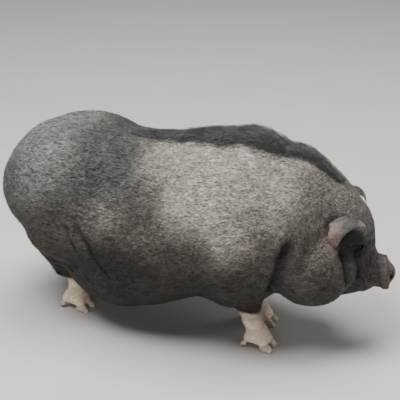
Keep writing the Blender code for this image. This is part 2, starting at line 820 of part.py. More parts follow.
def lock(name, root, out, lie, length, width, lift):
    """A flat, tapered, bent lock, from a root sunk in the flesh to a thin tip."""
    lie = unit(lie - (lie @ out) * out)
    across = np.cross(out, lie)
    rings = []
    for k in range(LOCK_RINGS):
        t = k / (LOCK_RINGS - 1)
        rise = -ROOT_DEPTH + (ROOT_DEPTH + lift) * math.sin(min(t * 1.5, 1.0) * math.pi / 2) - 0.25 * lift * t**3
        centre = root + out * rise + lie * length * (t**1.15)
        half = 0.5 * width * (1 - 0.80 * t**1.4)
        thick = 0.5 * LOCK_THICKNESS * (1 - 0.72 * t)
        rings.append([
            centre - across * half,
            centre - out * thick * 0.9,
            centre + across * half,
            centre + out * thick,
        ])
    return loft(name, rings)


def spine_place(x):
    """A place on the skin over the spine."""
    y = max(x - HEAD_PIVOT, 0) * math.tan(HEAD_TURN) * 0.9
    z = np.linspace(0.60, 0.30, 121)
    value = flesh(np.stack([np.full_like(z, x), np.full_like(z, y), z], -1))
    k = int(np.argmax(value < 0))
    share = value[k - 1] / (value[k - 1] - value[k])
    return np.array((x, y, z[k - 1] + share * (z[k] - z[k - 1])))


def spine_line(count):
    return [spine_place(MANE_START + (MANE_END - MANE_START) * k / (count - 1)) for k in range(count)]


def mane_strip(grow):
    """The band of skin along the spine that the mane grows from."""
    line = np.array(spine_line(MANE_STATIONS))
    rings = []
    for k, point in enumerate(line):
        along = unit(line[min(k + 1, len(line) - 1)] - line[max(k - 1, 0)])
        across = unit(np.cross((0, 0, 1), along))
        up = np.cross(along, across)
        end = grow * (1 if k == len(line) - 1 else -1 if k == 0 else 0)
        half = MANE_HALF_WIDTH * min(1.0, 0.45 + 0.25 * min(k, len(line) - 1 - k)) + grow
        middle = point + along * end
        rings.append([
            middle - across * half * 0.8 - up * (MANE_DEPTH + grow),
            middle + across * half * 0.8 - up * (MANE_DEPTH + grow),
            middle + across * half * 1.3 + up * 0.02,
            middle - across * half * 1.3 + up * 0.02,
        ])
    return loft("mane_strip", rings)


def mane_locks():
    """Staggered rows of locks, longest in the middle of the mane, lying back and a little outwards."""
    rng = np.random.default_rng(MANE_SEED)
    made = []
    for row, offset in enumerate(MANE_ROWS):
        for start in np.arange(MANE_START + 0.022, MANE_END - 0.016, LOCK_SPACING):
            x = min(start + (row % 2) * 0.5 * LOCK_SPACING + rng.uniform(-0.003, 0.003), MANE_END - 0.016)
            edge = min(1.0, (x - MANE_START) / 0.07, (MANE_END - x) / 0.05)
            guess = spine_place(x) + np.array((0, offset * MANE_HALF_WIDTH * edge, 0))
            place, out = on_skin(guess)
            lie = np.array((-1.0, offset * 0.55 + rng.uniform(-0.22, 0.22), 0.10))
            size = (0.50 + 0.50 * edge) * rng.uniform(0.85, 1.15)
            lift = LOCK_LIFT * edge * rng.uniform(0.8, 1.3)
            made.append(lock("lock", place, out, lie, LOCK_LENGTH * size, LOCK_WIDTH * size, lift))
    return made


def tail():
    piece = tube("tail", TAIL_LINE, TAIL_RADII, 10)
    end = np.array(TAIL_LINE[-1])
    rng = np.random.default_rng(MANE_SEED + 1)
    made = []
    for k in range(TAIL_LOCKS):
        a = 2 * math.pi * k / TAIL_LOCKS + rng.uniform(-0.2, 0.2)
        out = unit((math.cos(a), math.sin(a), 0.1))
        root = end + np.array((0, 0, 0.012)) + out * 0.0045
        length = rng.uniform(0.05, 0.065)
        made.append(lock("lock", root, out, np.array((0, 0, -1.0)), length, TAIL_LOCK_WIDTH, TAIL_LOCK_LIFT))
    return fused(piece, made)


MATERIALS = {
    "skin": ((0.075, 0.068, 0.062), 0.72),
    "feet": ((0.42, 0.30, 0.24), 0.70),
    "snout": ((0.16, 0.125, 0.115), 0.55),
    "bristle": ((0.018, 0.018, 0.022), 0.60),
    "hoof": ((0.36, 0.29, 0.23), 0.50),
    "eye": ((0.012, 0.009, 0.008), 0.12),
}


def materials():
    made = {}
    for name, (colour, rough) in MATERIALS.items():
        material = bpy.data.materials.new(name)
        material.use_nodes = True
        shader = material.node_tree.nodes["Principled BSDF"]
        shader.inputs["Base Color"].default_value = (*colour, 1)
        shader.inputs["Roughness"].default_value = rough
        material.diffuse_color = (*colour, 1)
        made[name] = material
    return made


def paint(obj, material):
    obj.data.materials.clear()
    obj.data.materials.append(material)
    for polygon in obj.data.polygons:
        polygon.material_index = 0
        polygon.use_smooth = False


def slanted(angle):
    """Axes of a box tipped nose-up by an angle about Y."""
    c, s = math.cos(angle), math.sin(angle)
    return ((c, 0, -s), (0, 1, 0), (s, 0, c))


def behind_plane(name, top, bottom, grow, turn=0.0):
    """A large block behind a plane through two places of the midline, for parting the body across."""
    top, bottom = np.array(top, float), np.array(bottom, float)
    up = unit(top - bottom)
    left = np.array((-math.sin(turn), math.cos(turn), 0.0))
    forward = np.cross(left, up)
    centre = (top + bottom) / 2 - forward * BEHIND
    return block(name, centre, (BEHIND, BEHIND, BEHIND), np.stack([forward, left, up], -1), grow)


def whole_flesh():
    """All the flesh as one closed piece, with its lids, lips, mouth and nostrils."""
    points, quads = surface_of(flesh, FLESH_LOW, FLESH_HIGH, GRID_STEP)
    whole = facing_out(mesh_object("head", points, quads))
    thin = whole.modifiers.new("thin", "DECIMATE")
    thin.ratio = FLESH_TRIANGLES / (2 * len(quads))
    largest(apply(whole))
    rims = lips()
    for side in SIDES.values():
        rims += lids(side)
    fused(whole, rims)
    for cutter in [mouth_slot()] + nostrils():
        combine(whole, cutter, "DIFFERENCE")
        remove(cutter)
    return whole


def part_leg(whole, leg):
    """Takes one foot and one leg from the flesh."""
    x, y = HEELS[leg]
    end, side_name = leg.split("_")
    side = SIDES[side_name]
    height = FOOT_HEIGHT[end]
    behind, ahead = FOOT_REACH[end]
    angle, (top_x, top_z), size = LEG_CELLS[end]

    def foot_cell(grow):
        centre = (x + (ahead - behind) / 2, side * (FOOT_CELL_WIDTH + GAP / 2), height / 2 - 0.02)
        return block("cell", centre, ((ahead + behind) / 2, FOOT_CELL_WIDTH, height / 2 + 0.02), grow=grow)

    def leg_cell(grow):
        axes = np.array(slanted(angle))
        top = np.array((x + top_x, 0, top_z))
        centre = top - axes[:, 2] * size[2] + np.array((0, side * (size[1] + GAP / 2), 0))
        return block("cell", centre, size, axes, grow)

    return parted(whole, "foot_" + leg, foot_cell), parted(whole, "leg_" + leg, leg_cell)


def torso_cell(grow):
    return behind_plane("cell", TORSO_CUT[0], TORSO_CUT[1], grow)


def neck_cell(grow):
    return behind_plane("cell", head_place(NECK_CUT[0], 1), head_place(NECK_CUT[1], 1), grow, HEAD_TURN)


def snout_cell(grow):
    centre = head_place((SNOUT_CUT + SNOUT_CELL[0], 0, SNOUT_HEIGHT), 1)
    c, s = math.cos(HEAD_TURN), math.sin(HEAD_TURN)
    return block("cell", centre, SNOUT_CELL, ((c, -s, 0), (s, c, 0), (0, 0, 1)), grow)


def stand_on_floor(pieces):
    """Moves all pieces so that the middle of their box is over the origin, with the floor under it."""
    corners = np.array([tuple(v.co) for obj in pieces for v in obj.data.vertices])
    low, high = corners.min(0), corners.max(0)
    shift = Matrix.Translation(Vector((-(low[0] + high[0]) / 2, -(low[1] + high[1]) / 2, -low[2])))
    for obj in pieces:
        obj.data.transform(shift)
        obj.data.update()


def main():
    for obj in list(bpy.data.objects):
        bpy.data.objects.remove(obj)

    head = whole_flesh()
    eyes = [eye(side) for side in SIDES.values()]
    ears = [ear(side) for side in SIDES.values()]
    tail_piece = tail()
    hooves = [hoof(leg, toe, main) for leg in HEELS for toe in (-1, 1) for main in (True, False)]
    for piece in eyes + ears + [tail_piece] + hooves:
        set_into(head, piece)

    mane = parted(head, "mane", mane_strip)
    fused(mane, mane_locks())
    limbs = [part_leg(head, leg) for leg in HEELS]
    feet = [foot for foot, _ in limbs]
    legs = [leg for _, leg in limbs]
    torso = parted(head, "torso", torso_cell)
    neck = parted(head, "neck", neck_cell)
    snout = parted(head, "snout", snout_cell)
    for piece in (torso, neck, head):
        cutter = swollen(piece, "clear", GAP / 2)
        combine(mane, cutter, "DIFFERENCE")
        remove(cutter)

    paints = materials()
    slots = {"skin": [torso, neck, head, tail_piece] + ears + legs, "feet": feet, "snout": [snout],
             "bristle": [mane], "hoof": hooves, "eye": eyes}
    for slot, pieces in slots.items():
        for piece in pieces:
            paint(piece, paints[slot])
    stand_on_floor([piece for pieces in slots.values() for piece in pieces])


main()
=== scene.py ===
"""The pot-bellied pig dressed for its picture: one skin over the flesh nodes, bristles, eyes and hooves."""

import contextlib
import json
import math

import bmesh
import bpy
import numpy as np
from mathutils import Matrix, Vector
from mathutils.kdtree import KDTree

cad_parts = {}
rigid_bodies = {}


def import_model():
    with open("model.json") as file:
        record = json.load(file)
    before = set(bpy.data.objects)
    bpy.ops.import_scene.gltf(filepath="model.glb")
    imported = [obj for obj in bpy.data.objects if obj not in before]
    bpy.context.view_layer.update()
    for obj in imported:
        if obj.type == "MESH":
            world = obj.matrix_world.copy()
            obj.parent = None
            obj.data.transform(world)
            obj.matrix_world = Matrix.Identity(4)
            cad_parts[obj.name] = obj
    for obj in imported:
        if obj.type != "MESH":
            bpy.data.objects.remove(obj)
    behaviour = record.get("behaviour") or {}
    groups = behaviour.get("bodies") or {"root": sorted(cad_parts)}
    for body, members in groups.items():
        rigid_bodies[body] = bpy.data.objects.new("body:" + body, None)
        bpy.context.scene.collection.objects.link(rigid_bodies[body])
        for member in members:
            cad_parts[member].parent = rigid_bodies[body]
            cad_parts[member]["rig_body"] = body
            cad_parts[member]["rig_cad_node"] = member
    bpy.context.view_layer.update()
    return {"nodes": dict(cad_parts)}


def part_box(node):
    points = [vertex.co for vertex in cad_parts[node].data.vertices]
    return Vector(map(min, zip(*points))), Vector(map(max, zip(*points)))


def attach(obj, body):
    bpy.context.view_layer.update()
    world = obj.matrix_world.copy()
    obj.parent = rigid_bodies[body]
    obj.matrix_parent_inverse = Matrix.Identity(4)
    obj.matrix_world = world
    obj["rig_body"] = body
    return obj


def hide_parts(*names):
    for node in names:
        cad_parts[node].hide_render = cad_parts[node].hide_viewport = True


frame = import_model()
LEGS = ("front_right", "front_left", "rear_right", "rear_left")
SIDES = {"right": -1.0, "left": 1.0}

# Search for the skin: its steps, the reach over which a slope is felt, how many grid cells round the
# skin are looked at finely, and how often the grid is settled.
SKIN_STEPS = 6
SLOPE_STEP = 0.0015
NEAR_STEPS = 6
SETTLE_ROUNDS = 4

# Trunk: place along the body, height of back, height of belly, half width.
TRUNK_STATIONS = (
    (-0.38, 0.531, 0.225, 0.190),
    (-0.30, 0.530, 0.090, 0.216),
    (-0.20, 0.528, 0.048, 0.240),
    (-0.07, 0.536, 0.072, 0.250),
    (0.06, 0.556, 0.128, 0.244),
    (0.17, 0.566, 0.155, 0.226),
    (0.26, 0.540, 0.165, 0.200),
)
RUMP_CAP = 0.162
NECK_CAP = 0.120
CAP_POWER = 2.3
TRUNK_WAIST = 0.44
TRUNK_UPPER_POWER = 2.0
TRUNK_LOWER_POWER = 2.35

# Head: it turns about this point on the midline, towards the pig's left.
HEAD_PIVOT = 0.243
HEAD_TURN = math.radians(12)
SNOUT_TILT = math.radians(8)
SNOUT_RADIUS = 0.047
SNOUT_TIP = 0.268
SNOUT_HEIGHT = 0.213
SNOUT_HALF_LENGTH = 0.010
SNOUT_ROUNDING = 0.005
SNOUT_BLEND = 0.010

# Balls: centre and radii. Limbs: two ends and their radii. The last number is the fillet to the rest.
# Pairs are given on the left side, and the head's shapes in its own frame.
SKULL = ((0.090, 0, 0.352), (0.122, 0.118, 0.124))
FACE_MUZZLE_JAW = (
    ((0.165, 0, 0.322), (0.198, 0, 0.240), 0.074, 0.050, 0.04),
    ((0.170, 0, 0.230), (0.255, 0, SNOUT_HEIGHT), 0.055, 0.042, 0.03),
    ((0.10, 0, 0.188), (0.210, 0, SNOUT_HEIGHT - 0.036), 0.070, 0.024, 0.02),
)
CHEEK_AND_BROW = (
    ((0.135, 0.072, 0.255), (0.062, 0.048, 0.060), 0.03),
    ((0.170, 0.054, 0.338), (0.050, 0.042, 0.038), 0.02),
)
CHIN = ((0.076, 0, 0.240), (0.114, 0.120, 0.085))
JOWL = (((0.082, 0.088, 0.263), (0.108, 0.092, 0.112), 0.05),)
HAM_AND_SHOULDER = (
    ((-0.341, 0.095, 0.374), (0.184, 0.122, 0.154), 0.03),
    ((0.152, 0.125, 0.296), (0.114, 0.115, 0.158), 0.05),
)
HEAD_BLEND = 0.06
JOWL_BLEND = 0.018
LEG_BLEND = 0.022
FOOT_BLEND = 0.010

CREASE_REACH = 0.03
CREASE_FADE = 0.25

# Legs: where each heel stands. By pair: the muscle's place, the joint and the ankle seen from the
# heel, the radii from the muscle to the joint and from the joint to the ankle.
HEELS = {
    "front_right": (0.184, -0.080),
    "front_left": (0.143, 0.040),
    "rear_right": (-0.366, -0.066),
    "rear_left": (-0.366, 0.072),
}
MUSCLES = {"front": (0.176, 0.138, 0.252), "rear": (-0.338, 0.115, 0.270)}
JOINTS = {"front": (-0.007, 0.014, 0.146), "rear": (0.012, 0.014, 0.148)}
ANKLES = {"front": (0.002, 0.078), "rear": (0.020, 0.092)}
LEG_RADII = {"front": (0.082, 0.041, 0.041, 0.0245), "rear": (0.113, 0.052, 0.048, 0.019)}
JOINT_BLEND = 0.012

# Feet: how far forwards the pastern reaches, its height there and its radii, then toe and dewclaw
# as limbs in the foot's own frame.
FOOT_SPLAY = math.radians(6)
PASTERNS = {"front": (0.024, 0.0245, 0.0265), "rear": (0.026, 0.0195, 0.0250)}
PASTERN_HEIGHT = 0.042
TOE_AND_DEWCLAW = (
    ((0.024, 0.012, 0.034), (0.044, 0.0135, 0.022), 0.0180, 0.0145, 0.016),
    ((0.007, 0.013, 0.036), (-0.002, 0.0165, 0.027), 0.0140, 0.0110, 0.022),
)

# Ears: a hood folded forwards over the eye. Eyes, lids, lips and nostrils.
EAR_BASE = (0.145, 0.112, 0.372)
EAR_AXIS = (0.80, 0.22, 0.26)
EAR_OPENING = (0.50, -0.50, -0.72)
EAR_LENGTH = 0.078
EAR_HALF_WIDTH = 0.053
EAR_DEPTH = 0.020
EAR_TIP = 0.34
EAR_LOW_POWER = 0.85
EAR_HIGH_POWER = 3.0
EAR_THICKNESS = 0.0055
EAR_ROOT = 0.014
EAR_BEND = {-1.0: math.radians(30), 1.0: math.radians(48)}
EAR_CURL = math.radians(84)
EAR_UNCURL = math.radians(20)
EAR_TAPER = 0.35
EAR_LEAST_WIDTH = 0.10
EAR_RIM_POWER = 8
EAR_RIM_THINNER = 0.55
EAR_TIP_THINNER = 0.25
EAR_RIDGE, EAR_RIDGES, EAR_RIDGE_SLANT = 0.0009, 11, 1.5
EYE_PLACE = (0.200, 0.069, 0.306)
EYE_LOOK = (1, 0.25, -0.1)
EYE_RADIUS = 0.0115
EYE_SUNK = 0.62
LID_RADIUS = 0.0032
LIP_RADIUS = 0.0042

# Mouth: place along the snout, angle from its axis and height on one side, then the front.
MOUTH_SIDE = ((0.179, 84, 0.196), (0.188, 82, 0.190), (0.204, 74, 0.182), (0.214, 52, 0.174))
MOUTH_FRONT = (0.236, 0.0, 0.169)
MARCH_START = 0.12
MARCH_STEPS = 60

# Nostril: across from the midline, up from the snout's middle, half width, half height, depth.
NOSTRIL = (0.018, 0.002, 0.0085, 0.0115, 0.012)

# Creases: lines on the skin with depth and width. Head creases are in the head's own frame.
BODY_CREASES = (
    (
        ((-0.262, 0.220, 0.345), (-0.249, 0.226, 0.313), (-0.222, 0.236, 0.279),
         (-0.201, 0.240, 0.244), (-0.178, 0.242, 0.223), (-0.146, 0.238, 0.189)),
        0.011, 0.015,
    ),
    (
        ((-0.400, 0.170, 0.240), (-0.345, 0.180, 0.186), (-0.292, 0.205, 0.192), (-0.243, 0.229, 0.219)),
        0.010, 0.011,
    ),
    (((-0.405, 0.080, 0.140), (-0.355, 0.130, 0.124), (-0.300, 0.110, 0.135)), 0.006, 0.008),
    (((0.110, 0.246, 0.342), (0.108, 0.248, 0.287), (0.108, 0.234, 0.220)), 0.007, 0.022),
    (
        ((-0.120, 0.070, 0.530), (-0.139, 0.150, 0.490), (-0.168, 0.215, 0.420), (-0.190, 0.240, 0.330)),
        0.010, 0.045,
    ),
)
HEAD_CREASES = (
    (
        ((0.041, 0.186, 0.381), (0.036, 0.193, 0.351), (0.027, 0.198, 0.322),
         (0.010, 0.188, 0.254), (0.001, 0.167, 0.217), (0.000, 0.120, 0.185)),
        0.018, 0.014,
    ),
    (
        ((0.150, 0.122, 0.335), (0.163, 0.128, 0.314), (0.174, 0.129, 0.288),
         (0.178, 0.130, 0.262), (0.183, 0.118, 0.236), (0.175, 0.112, 0.207)),
        0.010, 0.010,
    ),
    (
        ((0.193, 0.080, 0.300), (0.202, 0.068, 0.270), (0.206, 0.059, 0.229), (0.200, 0.050, 0.200)),
        0.007, 0.008,
    ),
    (
        ((0.232, 0.000, 0.285), (0.230, 0.031, 0.277), (0.229, 0.043, 0.254), (0.226, 0.051, 0.229)),
        0.005, 0.007,
    ),
)


def size_of(v):
    """Length of each vector."""
    return np.sqrt((v**2).sum(-1))


def eased(t):
    """From 0 to 1, starting and ending level."""
    return t * t * (3 - 2 * t)


def beside(p, a, b):
    """How far along a segment its place nearest to each point is, from 0 to 1, and the way from there."""
    along = b - a
    t = np.clip((p - a) @ along / (along @ along), 0, 1)
    return t, p - a - t[:, None] * along


def curve_through(stations, column, x):
    """A smooth line through one column of the stations, by cubic Hermite pieces."""
    xs = np.array([s[0] for s in stations])
    ys = np.array([s[column] for s in stations])
    slopes = np.gradient(ys, xs)
    x = np.clip(x, xs[0], xs[-1])
    i = np.clip(np.searchsorted(xs, x) - 1, 0, len(xs) - 2)
    h = xs[i + 1] - xs[i]
    t = (x - xs[i]) / h
    return (
        (2 * t**3 - 3 * t**2 + 1) * ys[i]
        + (t**3 - 2 * t**2 + t) * h * slopes[i]
        + (3 * t**2 - 2 * t**3) * ys[i + 1]
        + (t**3 - t**2) * h * slopes[i + 1]
    )


def radial(q, rho):
    """Distance along the ray from the centre to the surface where rho is 1."""
    return size_of(q) * (1 - 1 / np.maximum(rho, 1e-6)) - 1e-9


def trunk(p):
    """The barrel from rump to neck, a fuller curve below its waist than above."""
    x, y, z = p[:, 0], p[:, 1], p[:, 2]
    first, last = TRUNK_STATIONS[0][0], TRUNK_STATIONS[-1][0]
    back, belly, half = (curve_through(TRUNK_STATIONS, c, x) for c in (1, 2, 3))
    waist = belly + TRUNK_WAIST * (back - belly)
    above = z > waist
    height = np.where(above, back - waist, waist - belly)
    power = np.where(above, TRUNK_UPPER_POWER, TRUNK_LOWER_POWER)
    past = np.maximum(first - x, 0) / RUMP_CAP + np.maximum(x - last, 0) / NECK_CAP
    ring = (np.abs(y) / half) ** power + (np.abs(z - waist) / height) ** power
    rho = (ring ** (CAP_POWER / power) + past**CAP_POWER) ** (1 / CAP_POWER)
    past_m = np.maximum(first - x, 0) + np.maximum(x - last, 0)
    return radial(np.stack([past_m, y, z - waist], -1), rho)


def ball(p, centre, radii):
    """An ellipsoid."""
    q = p - np.array(centre)
    return radial(q, size_of(q / np.array(radii)))


def cone(p, start, end, radius, end_radius):
    """A limb with round ends."""
    t, away = beside(p, np.array(start), np.array(end))
    return size_of(away) - (radius + (end_radius - radius) * t)


def disc(p, centre, axis, radius, half_length, rounding):
    """A short round-edged cylinder."""
    q = p - np.array(centre)
    n = np.array(axis)
    along = q @ n
    across = np.sqrt(np.maximum((q**2).sum(-1) - along**2, 0))
    u = across - (radius - rounding)
    v = np.abs(along) - (half_length - rounding)
    outside = np.sqrt(np.maximum(u, 0) ** 2 + np.maximum(v, 0) ** 2)
    return outside + np.minimum(np.maximum(u, v), 0) - rounding


def joined(a, b, blend):
    """Both shapes, with a soft fillet of about the blend's size between them."""
    h = np.maximum(blend - np.abs(a - b), 0) / blend
    return np.minimum(a, b) - h * h * blend / 4


def with_pairs(d, p, pairs):
    """A shape with balls joined to it on both sides."""
    for side in SIDES.values():
        for (x, y, z), radii, blend in pairs:
            d = joined(d, ball(p, (x, side * y, z), radii), blend)
    return d


def distance_to_line(p, points):
    """Distance to a line through the points, and how far along it, from 0 to 1."""
    best = np.full(len(p), 1e9)
    place = np.zeros(len(p))
    for k in range(len(points) - 1):
        t, away = beside(p, points[k], points[k + 1])
        d = size_of(away)
        nearer = d < best
        best = np.where(nearer, d, best)
        place = np.where(nearer, (k + t) / (len(points) - 1), place)
    return best, place


# The pig's form


def head_to_body(local):
    """A place in the head's own frame, carried to the body's."""
    x, y, z = local
    c, s = math.cos(HEAD_TURN), math.sin(HEAD_TURN)
    return np.array((HEAD_PIVOT + x * c - y * s, x * s + y * c, z))


def body_to_head(p):
    c, s = math.cos(HEAD_TURN), math.sin(HEAD_TURN)
    x, y = p[:, 0] - HEAD_PIVOT, p[:, 1]
    return np.stack([x * c + y * s, y * c - x * s, p[:, 2]], -1)


def on_left(place):
    """The places with their right half mirrored onto the left."""
    return np.abs(place * (0, 1, 0)) + place * (1, 0, 1)


def head_form(q):
    """Skull, face, muzzle and jaw, in the head's own frame."""
    d = ball(q, *SKULL)
    for *limb, blend in FACE_MUZZLE_JAW:
        d = joined(d, cone(q, *limb), blend)
    d = with_pairs(d, q, CHEEK_AND_BROW)
    axis = (math.cos(SNOUT_TILT), 0, math.sin(SNOUT_TILT))
    centre = (SNOUT_TIP, 0, SNOUT_HEIGHT)
    return joined(d, disc(q, centre, axis, SNOUT_RADIUS, SNOUT_HALF_LENGTH, SNOUT_ROUNDING), SNOUT_BLEND)


def jowls(q):
    """The hanging cheeks and double chin, in the head's own frame."""
    return with_pairs(ball(q, *CHIN), q, JOWL)


def leg_form(p, leg):
    """One leg, from its muscle down to the ankle."""
    pair, side = leg.split("_")
    side = SIDES[side]
    hx, hy = HEELS[leg]
    x, y, z = JOINTS[pair]
    joint = (hx + x, hy + side * y, z)
    x, y, z = MUSCLES[pair]
    muscle = (x, side * y, z)
    x, z = ANKLES[pair]
    top, middle, below, low = LEG_RADII[pair]
    d = cone(p, muscle, joint, top, middle)
    return joined(d, cone(p, joint, (hx + x, hy, z), below, low), JOINT_BLEND)


def foot_to_body(leg, local):
    """A place in a foot's own frame, carried to the body's."""
    turn = FOOT_SPLAY * SIDES[leg.split("_")[1]]
    c, s = math.cos(turn), math.sin(turn)
    u, v, z = local
    x, y = HEELS[leg]
    return np.array((x + u * c - v * s, y + u * s + v * c, z))


def foot_form(p, leg):
    """Pastern and the flesh of two toes and two dewclaws, pointing forwards."""

    def limb(start, end, radius, end_radius):
        return cone(p, foot_to_body(leg, start), foot_to_body(leg, end), radius, end_radius)

    pair = leg.split("_")[0]
    x, z = ANKLES[pair]
    forwards, radius, end_radius = PASTERNS[pair]
    d = limb((x, 0, z), (forwards, 0, PASTERN_HEIGHT), radius, end_radius)
    for toe in (-1, 1):
        for (x, y, z), (end_x, end_y, end_z), radius, end_radius, blend in TOE_AND_DEWCLAW:
            d = joined(d, limb((x, toe * y, z), (end_x, toe * end_y, end_z), radius, end_radius), blend)
    return d


def flesh(p):
    """Signed distance of all the flesh, negative inside."""
    q = body_to_head(p)
    body = with_pairs(trunk(p), p, HAM_AND_SHOULDER)
    body = joined(body, head_form(q), HEAD_BLEND)
    body = joined(body, jowls(q), JOWL_BLEND)
    for leg in HEELS:
        body = joined(body, leg_form(p, leg), LEG_BLEND)
        body = joined(body, foot_form(p, leg), FOOT_BLEND)
    near = np.abs(body) < CREASE_REACH
    for place, lines in ((p[near], BODY_CREASES), (q[near], HEAD_CREASES)):
        mirrored = on_left(place)
        for points, depth, width in lines:
            away, along = distance_to_line(mirrored, np.array(points))
            ends = np.clip(np.minimum(along, 1 - along) / CREASE_FADE, 0.25, 1)
            body[near] += ends * depth * np.exp(-((away / width) ** 2))
    return body


def settled(value):
    """Turns the weakest corner where a grid face's corners alternate, so the surface can't meet itself."""
    for _ in range(SETTLE_ROUNDS):
        for first, second in ((0, 1), (0, 2), (1, 2)):
            view = np.moveaxis(value, (first, second), (0, 1))
            inside = view < 0
            a, b, c, d = inside[:-1, :-1], inside[1:, :-1], inside[1:, 1:], inside[:-1, 1:]
            for i, j, k in zip(*np.nonzero((a == c) & (b == d) & (a != b))):
                corners = [(i, j, k), (i + 1, j, k), (i + 1, j + 1, k), (i, j + 1, k)]
                weakest = min(corners, key=lambda at: abs(view[at]))
                view[weakest] = -view[weakest]
    return value


def surface_of(form, low, high, spacing):
    """The surface where form is 0, one point in each grid cell that it crosses, as (points, quads)."""
    axes = [np.arange(low[k], high[k] + spacing, spacing) for k in range(3)]
    shape = tuple(len(a) for a in axes)
    grid = np.stack(np.meshgrid(*axes, indexing="ij"), -1).reshape(-1, 3)
    coarse = form(grid.reshape(*shape, 3)[::2, ::2, ::2].reshape(-1, 3))
    coarse = coarse.reshape([(n + 1) // 2 for n in shape])
    value = coarse.repeat(2, 0).repeat(2, 1).repeat(2, 2)[: shape[0], : shape[1], : shape[2]].ravel()
    near = np.abs(value) < NEAR_STEPS * spacing
    value[near] = form(grid[near])
    value = settled(value.reshape(shape))
    grid = grid.reshape(*shape, 3)
    cells = tuple(n - 1 for n in shape)
    total = np.zeros((*cells, 3))
    count = np.zeros(cells)

    def corner(array, i, j, k):
        return array[i : i + cells[0], j : j + cells[1], k : k + cells[2]]

    corners = [(i, j, k) for i in (0, 1) for j in (0, 1) for k in (0, 1)]
    for a in corners:
        for b in corners:
            if sum(b) - sum(a) != 1 or sum(abs(m - n) for m, n in zip(a, b)) != 1:
                continue
            va, vb = corner(value, *a), corner(value, *b)
            crossed = (va < 0) != (vb < 0)
            share = np.where(crossed, va / np.where(crossed, va - vb, 1), 0)[..., None]
            at = corner(grid, *a) * (1 - share) + corner(grid, *b) * share
            total += np.where(crossed[..., None], at, 0)
            count += crossed
    used = count > 0
    index = np.full(cells, -1)
    index[used] = np.arange(used.sum())
    points = total[used] / count[used][:, None]

    quads = []
    inside = value < 0
    for axis in range(3):
        first, second = [a for a in range(3) if a != axis]
        here = np.moveaxis(inside, (axis, first, second), (0, 1, 2))
        cell = np.moveaxis(index, (axis, first, second), (0, 1, 2))
        change = here[:-1, 1:-1, 1:-1] != here[1:, 1:-1, 1:-1]
        i, j, k = np.nonzero(change)
        ring = [cell[i, j, k], cell[i, j + 1, k], cell[i, j + 1, k + 1], cell[i, j, k + 1]]
        ahead = here[:-1, 1:-1, 1:-1][i, j, k] != (axis == 1)
        quad = np.stack(ring, -1)
        quads.append(np.where(ahead[:, None], quad, quad[:, ::-1]))
    return points, np.concatenate(quads)


def unit(v):
    v = np.array(v, float)
    return v / np.sqrt(v @ v)


def outward(form, points, reach):
    """Outward directions of a form at each place, from its slope over a reach."""
    slopes = np.stack([form(points + way) - form(points - way) for way in reach * np.eye(3)], -1)
    return slopes / np.linalg.norm(slopes, axis=-1, keepdims=True)


def on_skin(point):
    """The nearest place on the skin, and the outward direction there."""
    place = np.array(point, float)[None]
    for _ in range(SKIN_STEPS):
        place = place - outward(flesh, place, SLOPE_STEP) * flesh(place)[:, None]
    return place[0], outward(flesh, place, SLOPE_STEP)[0]


def head_place(local, side):
    x, y, z = local
    return head_to_body((x, side * y, z))


def head_direction(local, side):
    return head_place(local, side) - head_place((0, 0, 0), side)


def ear_sheets(side, rows, columns):
    """The outer and the inner sheet of a hood-shaped leaf folded forwards, row by row."""
    along = unit(head_direction(EAR_AXIS, side))
    opening = head_direction(EAR_OPENING, side)
    opening = unit(opening - (opening @ along) * along)
    width = np.cross(opening, along)
    width = width if width[2] > 0 else -width
    base = head_place(EAR_BASE, side) - opening * EAR_DEPTH
    outer, inner = [], []
    for i in range(rows + 1):
        t = i / rows
        reach = -EAR_ROOT + (EAR_LENGTH + EAR_ROOT) * t
        share = max(reach, 0) / EAR_LENGTH
        bend = EAR_BEND[side] * share**2
        middle = base + along * reach * math.cos(bend) + opening * reach * math.sin(bend)
        open_way = unit(opening * math.cos(bend) - along * math.sin(bend))
        tip = EAR_HALF_WIDTH * EAR_TIP
        low = -EAR_HALF_WIDTH + (EAR_HALF_WIDTH + tip) * share**EAR_LOW_POWER
        high = EAR_HALF_WIDTH - (EAR_HALF_WIDTH - tip) * share**EAR_HIGH_POWER
        high = max(high, low + EAR_LEAST_WIDTH * EAR_HALF_WIDTH)
        curl = EAR_CURL - EAR_UNCURL * share
        radius = EAR_HALF_WIDTH / curl * (1 - EAR_TAPER * share**2)
        for sheet, store in ((0.0, inner), (1.0, outer)):
            thick = EAR_THICKNESS * (1 - EAR_TAPER * share)
            row = []
            for j in range(columns + 1):
                u = 2 * j / columns - 1
                v = (low + (high - low) * j / columns) / radius
                rim = 1 - EAR_RIM_THINNER * abs(u) ** EAR_RIM_POWER - EAR_TIP_THINNER * share**EAR_RIM_POWER
                ridge = EAR_RIDGE * math.sin(EAR_RIDGES * u + EAR_RIDGE_SLANT * share)
                ridge *= (1 - u * u) * (1 - share)
                r = radius + (sheet - 0.5) * thick * rim + 0.5 * thick + ridge
                row.append(middle + r * (math.sin(v) * width - math.cos(v) * open_way) + radius * open_way)
            store.append(row)
    return outer, inner


def eye_frame(side):
    """An eye's centre, and its directions out, forwards and up."""
    place, out = on_skin(head_place(EYE_PLACE, side))
    centre = place - out * EYE_RADIUS * EYE_SUNK
    forward = unit(head_direction(EYE_LOOK, side))
    forward = unit(forward - (forward @ out) * out)
    up = np.cross(out, forward)
    up = up if up[2] > 0 else -up
    return centre, out, forward, up


def first_skin(origin, out):
    """The first skin met coming in from outside along a direction."""
    distances = np.linspace(MARCH_START, 0, MARCH_STEPS)
    depths = flesh(origin + distances[:, None] * out)
    met = np.argmax(depths < 0)
    share = depths[met - 1] / (depths[met - 1] - depths[met])
    return origin + (distances[met - 1] + (distances[met] - distances[met - 1]) * share) * out


